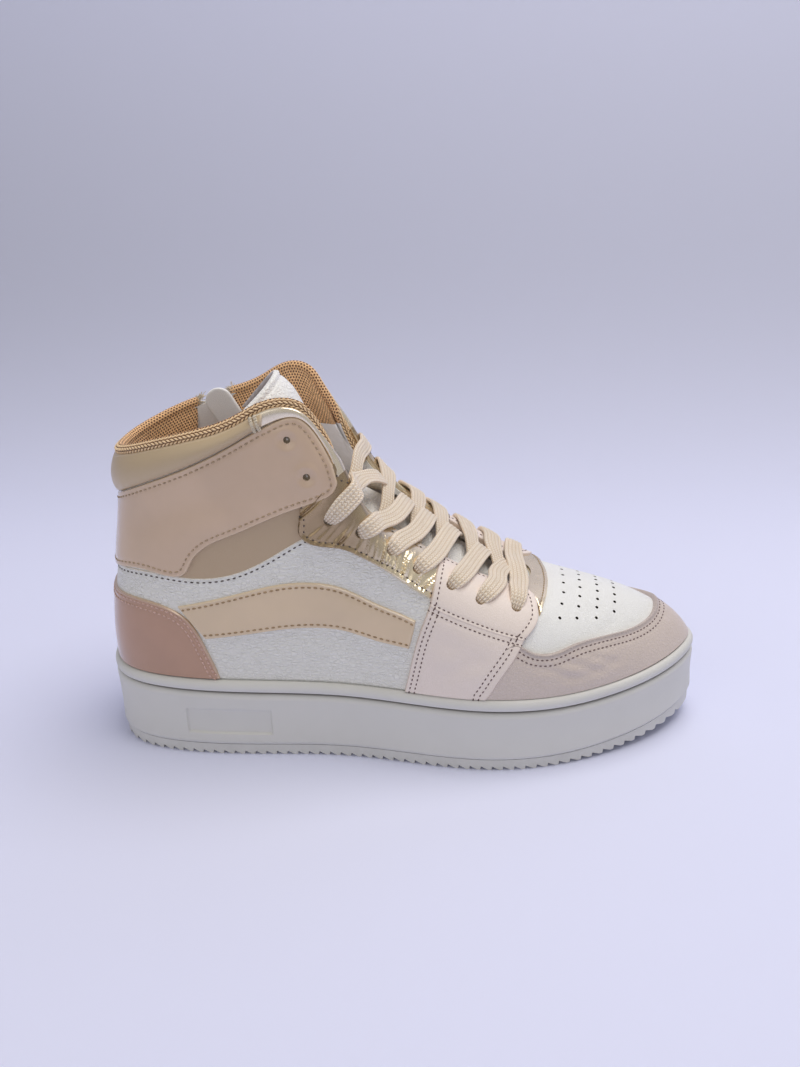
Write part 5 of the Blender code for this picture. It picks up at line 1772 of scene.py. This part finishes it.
def tongue_point(share, side):
    """Outer face of the tongue: share 0 at its toe end to 1 at its top, side -1 to 1 across."""
    share, side = np.broadcast_arrays(np.asarray(share, float), np.asarray(side, float))
    x, z, half, sag = np.moveaxis(TONGUE_AT(share), -1, 0)
    crest = unit((TONGUE_AT(share + SMALL) - TONGUE_AT(share - SMALL))[..., :2])
    top = np.clip((share - 0.7) / 0.3, 0, 1) ** 2
    drop = (sag + np.where(side > 0, TONGUE_CURL[1], TONGUE_CURL[0]) * top) * side**2
    lean = TONGUE_LEAN * top * np.sin(np.pi * side)
    return np.stack([x - crest[..., 1] * drop, half * side, z + crest[..., 0] * drop + lean], -1)


def tongue_out(share, side):
    """Outward direction of the tongue's face."""
    by_share = tongue_point(share + SMALL, side) - tongue_point(share - SMALL, side)
    by_side = tongue_point(share, side + SMALL) - tongue_point(share, side - SMALL)
    return -unit(np.cross(by_share, by_side))


def tongue(share, side, lift=0.0):
    share, side = np.broadcast_arrays(np.asarray(share, float), np.asarray(side, float))
    return tongue_point(share, side) + tongue_out(share, side) * np.asarray(lift)[..., None]


TONGUE_LINING = woven_finish("grey tongue lining", (0.86, 0.83, 0.87), pitch=0.8, depth=0.1)


def tongue_leather():
    """Leather outside, grey cloth inside and foam between them, rolled in a piping round the edge."""
    share = (1 - (1 - np.linspace(0, 1, 120)) ** 1.35)[:, None]
    side = np.sin(np.linspace(-np.pi / 2, np.pi / 2, 76))[None, :]
    face = tongue_point(share, side)
    borders = (face[:, 0], face[:, -1], face[-1])
    rim = np.min([away_from(face, border)[0] for border in borders], axis=0)
    soft = rounded(rim, TONGUE_EDGE)
    piping = PIPING_RISE * bell(rim, PIPING_AT, PIPING_HALF)
    groove = PIPING_GROOVE_DEPTH * bell(rim, PIPING_GROOVE, PIPING_GROOVE_HALF)
    foam = TONGUE_FOAM * (1 - np.exp(-np.maximum(rim - PIPING_GROOVE, 0) / 5))
    half = TONGUE_THICKNESS / 2 * (1 - TONGUE_THINNING * np.clip((share - 0.75) / 0.25, 0, 1))
    middle = -half - np.interp(share, TONGUE_SINK_AT, TONGUE_SINK)
    outer = tongue(share, side, middle + (half + piping + foam - groove) * soft)
    inner = tongue(share, side, middle - (half + 0.4 * piping) * soft)
    made = slab("tongue_leather", outer, inner, TONGUE_WHITE,
                marks={"rim": np.full(rim.shape, UNCUT)}, sharp=1.2)
    made.data.materials.append(TONGUE_LINING)
    count = (rim.shape[0] - 1) * (rim.shape[1] - 1)
    for polygon in made.data.polygons[count:2 * count]:
        polygon.material_index = 1
    settle(made, stands_for=("tongue",))


tongue_leather()

# Lace: one flat braided cotton lace with ribs along it. A bar crosses the front pair of holes, and
# from there each run comes up under one eyestay, crosses the tongue and goes down through a hole
# of the other. Both ends stop inside the top holes.
LACE_WIDTH = 8.6
LACE_THICKNESS = 2.0
LACE_RIBS = 5
RIB_DEPTH = 0.30
LACE_LEAN = {1: (9.0, 9.5, 10.0, 10.5, 12.0, 13.0), -1: (8.0, 8.0, 8.5, 9.0, 9.0, 9.0)}
LACE_LIFT = 3.5
LACE_INSIDE = -5.0
LACE_COLOUR = (1.0, 0.88, 0.725)
LACE_VALLEY_SHADE = (0.86, 0.72, 0.56)
LACE_STEP = 1.0
STITCH_LENGTH = 1.5
STITCH_SLANT = 1.4
THROAT_EDGE = 97.0
MEDIAL_WIDTH = 0.78
LATERAL_RISE = 1.3
LaceRow = namedtuple("LaceRow", "point out width thick")

# The lace over an eyestay or the throat tab: share of the way from its hole, height above the
# upper, and shares of its width and thickness
StayStep = namedtuple("StayStep", "share lift width thick")
OVER_STAY = [
    StayStep(0.16, 3.3, 0.86, 1.5),
    StayStep(0.4, 3.5, 0.98, 1.2),
    StayStep(0.7, 3.6, 1.0, 1.0),
]
OVER_TAB = [
    StayStep(0.14, LACE_LIFT, 0.88, 1.4),
    StayStep(0.32, LACE_LIFT, 0.98, 1.15),
    StayStep(0.5, LACE_LIFT, 1.0, 1.0),
]


def braid_finish(name, colour):
    """Cotton braid: slanting stitches that change hand at each rib, on the lace's UV map, with
    painted shade in the valleys between stitches and ribs.
    """
    made, shader, place = finish_of(name, Roughness=0.82, Sheen_Weight=0.5)
    run, ribs, _ = axes_of(surface_of(place))
    rib = calc("ABSOLUTE", off_middle(ribs))
    slant = calc("ADD", calc("DIVIDE", run, STITCH_LENGTH),
                 calc("MULTIPLY", rib, STITCH_SLANT))
    stitch = calc("ABSOLUTE", off_middle(slant))
    bead = ranged(stitch, 0.5, 0.2, 0.3, 1.0)
    valley = ranged(rib, 0.5, 0.36, 0.3, 1.0)
    knit = calc("MULTIPLY", bead, valley)
    fuzz = noise(place, 1800, 2)
    base = shaded(colour, noise(place, 130, 3), 0.95)
    # Painted shade in the valleys between stitches and ribs
    deep = [c * share for c, share in zip(colour, LACE_VALLEY_SHADE)]
    join(tinted(knit, deep, base), shader, "Base Color")
    join(bumped(knit, 0.4, bumped(fuzz, 0.08)), shader, "Normal")
    return made


LACE_BRAID = braid_finish("cream braided lace", LACE_COLOUR)


def edge_along(x):
    """Share along of the throat edge at this distance along the shoe."""
    along = np.linspace(54, 100, 400)
    return np.interp(x, shell_point(along / 200, 1.0)[:, 0], along)


def tongue_share(x):
    share = np.linspace(0, 1, 400)
    return np.interp(-x, -tongue_point(share, 0.0)[:, 0], share)


def hole_x(hole, sign):
    return shell_point(sign * hole.along / 200, hole.up / 100)[0]


def on_shell(along, up, lift):
    turn, up = np.array(along / 200), np.array(up / 100)
    return shell(turn, up, lift), shell_normal(turn, up)


def on_tongue(x, side, lift):
    share = tongue_share(x)
    out = tongue_out(share, side)
    return tongue_point(share, side) + out * lift, out


def rising(mouth, normal, towards):
    """The lace's first rows, from inside the shoe up through a hole and turning over its edge."""
    return [LaceRow(mouth + normal * LACE_INSIDE, -towards, 0.6, 1.5),
            LaceRow(mouth + normal * 0.2, unit(0.4 * normal - towards), 0.62, 1.6)]


def out_of_hole(hole, sign, drift):
    """The lace from inside the shoe up through a hole and over the eyestay to the throat edge."""
    end = edge_along(hole_x(hole, sign) + drift)
    mouth, normal = on_shell(sign * hole.along, hole.up, 0.0)
    rows = rising(mouth, normal, unit(on_shell(sign * end, THROAT_EDGE, 0.0)[0] - mouth))
    for step in OVER_STAY:
        along = hole.along + (end - hole.along) * step.share
        up = hole.up + (THROAT_EDGE - hole.up) * step.share
        rows.append(LaceRow(*on_shell(sign * along, up, step.lift), step.width, step.thick))
    return rows + [LaceRow(*on_shell(sign * end, THROAT_EDGE, LACE_LIFT + 1.0), 1.0, 1.0)]


def crossing(hole, below, sign, lift):
    """A run from a hole leaning forward over the tongue, down under the other eyestay and to the
    hole below there."""
    start, lean = hole_x(hole, sign), LACE_LEAN[sign][LACE_HOLES.index(below)]
    slim = 1.0 if sign > 0 else MEDIAL_WIDTH
    crest = on_tongue(start + lean, sign * 0.1, LACE_LIFT + 1.2 + lift)
    dip = on_tongue(start + 1.3 * lean, sign * 0.5, 2.2)
    tuck = on_tongue(start + 1.4 * lean, sign * 0.84, 1.3)
    mouth = on_shell(-sign * below.along, below.up, LACE_INSIDE)
    rows = out_of_hole(hole, sign, 0.42 * lean)
    rows += [LaceRow(*crest, slim, 1.0), LaceRow(*dip, slim, 1.0), LaceRow(*tuck, 0.9 * slim, 1.0)]
    return rows + [LaceRow(*mouth, 0.7, 1.2)]


def bar_half(hole, sign):
    """Half of the front bar, up through a hole and across the throat tab towards the middle."""
    mouth, normal = on_shell(sign * hole.along, hole.up, 0.0)
    rows = rising(mouth, normal, np.array((0.0, sign, 0.0)))
    for step in OVER_TAB:
        turn, up = on_toe_box(mouth[0] + 2.0 * step.share, mouth[1] * (1 - step.share))
        rows.append(LaceRow(*on_shell(turn * 200, up * 100, step.lift), step.width, step.thick))
    return rows


def lace_run(rows):
    """Points and UV of a ribbed flat tube along the rows of a run."""
    points = np.array([row.point for row in rows])
    knots = chord_knots(points)
    share = np.linspace(0, 1, int(run_of(points)[-1] / LACE_STEP))
    centre = spline(knots, points)(share)
    out = unit(spline(knots, np.array([row.out for row in rows]))(share))
    size = spline(knots, np.array([(row.width, row.thick) for row in rows]))(share)
    wide = unit(np.cross(np.gradient(centre, axis=0), out))
    out = unit(np.cross(wide, np.gradient(centre, axis=0)))
    angle = np.linspace(0, 2 * np.pi, 56, endpoint=False)
    flat = np.sign(np.cos(angle)) * np.abs(np.cos(angle)) ** 0.75
    thick = np.sign(np.sin(angle)) * np.abs(np.sin(angle)) ** 0.55
    ribs = LACE_RIBS * (flat + 1) / 2
    ribbed = thick * (1 - RIB_DEPTH * (0.5 - 0.5 * np.cos(2 * np.pi * (ribs + 0.5))))
    across = wide[:, None, :] * (flat[None, :] * size[:, :1] * LACE_WIDTH / 2)[..., None]
    above = out[:, None, :] * (ribbed[None, :] * size[:, 1:] * LACE_THICKNESS / 2)[..., None]
    tube = centre[:, None, :] + across + above
    uv = np.broadcast_arrays(run_of(centre)[:, None], ribs[None, :])
    return tube, np.stack(uv, -1)


def lace_runs():
    bar = LACE_HOLES[0]
    near, far = bar_half(bar, 1), bar_half(bar, -1)
    middle = (near[-1].point + far[-1].point) / 2 + (0, 0, 1.8)
    runs = [near + [LaceRow(middle, unit(np.array((0.3, 0, 1.0))), 1.0, 1.0)] + far[::-1]]
    for below, hole in zip(LACE_HOLES, LACE_HOLES[1:]):
        runs += [crossing(hole, below, -1, 0.0), crossing(hole, below, 1, LATERAL_RISE)]
    return runs


def braided_lace():
    points, faces, uv = [], [], []
    for rows in lace_runs():
        tube, flat = lace_run(rows)
        faces += ring_faces(tube, first=sum(len(p) for p in points))
        points.append(tube.reshape(-1, 3))
        uv.append(flat.reshape(-1, 2))
    made = piece_of("lace", np.concatenate(points), faces, LACE_BRAID, np.concatenate(uv), sharp=1.2)
    crosses = ["lace_cross_%d" % number for number in range(1, len(LACE_HOLES))]
    settle(made, stands_for=("lace_bar", *crosses))


braided_lace()

# Studio: a pale sweep for the floor and backdrop, one large soft light above and behind the toe,
# a weaker one in front, and the camera at the photograph's place.
FLOOR_COLOUR = (0.76, 0.785, 0.985)
WALL_SHADE = (0.63, 0.92)
SWEEP_START = 260.0
SWEEP_RADIUS = 520.0
WALL_TOP = 2600.0
FLOOR_REACH = 20000.0
LIGHT_COLOUR = (1.0, 0.965, 0.92)
CAMERA_AIM = np.array([2.08, 0.0, 90.9])
CAMERA_AWAY = 486.5
CAMERA_TURN = 6.915
CAMERA_RISE = 23.71
CAMERA_ROLL = -2.636
CAMERA_LENS = 37.28


def studio_floor():
    """A sheet that lies flat under the shoe and sweeps up into a wall far behind it."""
    bend = np.linspace(0, np.pi / 2, 24)
    y = SWEEP_START + SWEEP_RADIUS * np.sin(bend)
    y = np.concatenate([[-FLOOR_REACH, -3000.0], y, [SWEEP_START + SWEEP_RADIUS]])
    z = np.concatenate([[0.0, 0.0], SWEEP_RADIUS * (1 - np.cos(bend)), [WALL_TOP]])
    x = np.array([-FLOOR_REACH, -3500.0, 3500.0, FLOOR_REACH])
    grid = np.stack(np.broadcast_arrays(x[:, None], y, z), -1)
    made, shader, place = finish_of("studio sweep", Roughness=0.85)
    base = shaded(FLOOR_COLOUR, noise(place, 1.5, 1), 0.985)
    _, back, height = axes_of(place)
    low, high = ([c * shade for c in FLOOR_COLOUR] for shade in WALL_SHADE)
    wall = tinted(ranged(height, 0.05, 0.6), low, high)
    join(tinted(ranged(back, 0.1, 0.62), base, wall), shader, "Base Color")
    mesh = bpy.data.meshes.new("studio_sweep")
    faces = grid_faces(np.arange(len(x) * len(y)).reshape(len(x), len(y)))
    mesh.from_pydata((grid.reshape(-1, 3) * MM).tolist(), [], faces)
    mesh.materials.append(made)
    mesh.shade_smooth()
    floor = linked("studio_sweep", mesh)


def soft_light(name, place, aim, size, watts):
    lamp = bpy.data.lights.new(name, "AREA")
    lamp.shape = "DISK"
    lamp.size = size
    lamp.energy = watts
    lamp.color = LIGHT_COLOUR
    back = unit(np.subtract(place, aim))
    right = unit(np.cross((0, 1, 0.01), back))
    turned = np.eye(4)
    turned[:3, :3] = np.column_stack([right, np.cross(back, right), back])
    turned[:3, 3] = place
    linked(name, lamp).matrix_world = Matrix(turned.tolist())


def camera_at_photo():
    turn, rise, roll = np.radians([CAMERA_TURN, CAMERA_RISE, CAMERA_ROLL])
    back = np.array([np.sin(turn) * np.cos(rise), -np.cos(turn) * np.cos(rise), np.sin(rise)])
    right = np.array([np.cos(turn), np.sin(turn), 0.0])
    above = np.cross(back, right)
    placed = np.eye(4)
    placed[:3, 0] = right * np.cos(roll) + above * np.sin(roll)
    placed[:3, 1] = above * np.cos(roll) - right * np.sin(roll)
    placed[:3, 2] = back
    placed[:3, 3] = (CAMERA_AIM + back * CAMERA_AWAY) * MM
    camera = bpy.data.cameras.new("photo camera")
    camera.lens = CAMERA_LENS
    camera.sensor_fit = "AUTO"
    camera.sensor_width = 36.0
    camera.clip_start = 0.01
    made = linked("photo camera", camera)
    made.matrix_world = Matrix(placed.tolist())
    bpy.context.scene.camera = made


studio_floor()
soft_light("key", place=(0.4, 0.1, 1.4), aim=(0.02, 0, 0.06), size=1.1, watts=12.4)
soft_light("fill", place=(-0.7, -1.1, 0.8), aim=(0, 0, 0.07), size=1.2, watts=1.9)
sky = bpy.data.worlds.new("studio")
sky.use_nodes = True
sky_light = sky.node_tree.nodes["Background"].inputs
sky_light["Color"].default_value = (1.0, 0.975, 0.94, 1)
sky_light["Strength"].default_value = 0.39
bpy.context.scene.world = sky
bpy.context.scene.view_settings.view_transform = "Standard"
camera_at_photo()

bpy.context.view_layer.update()
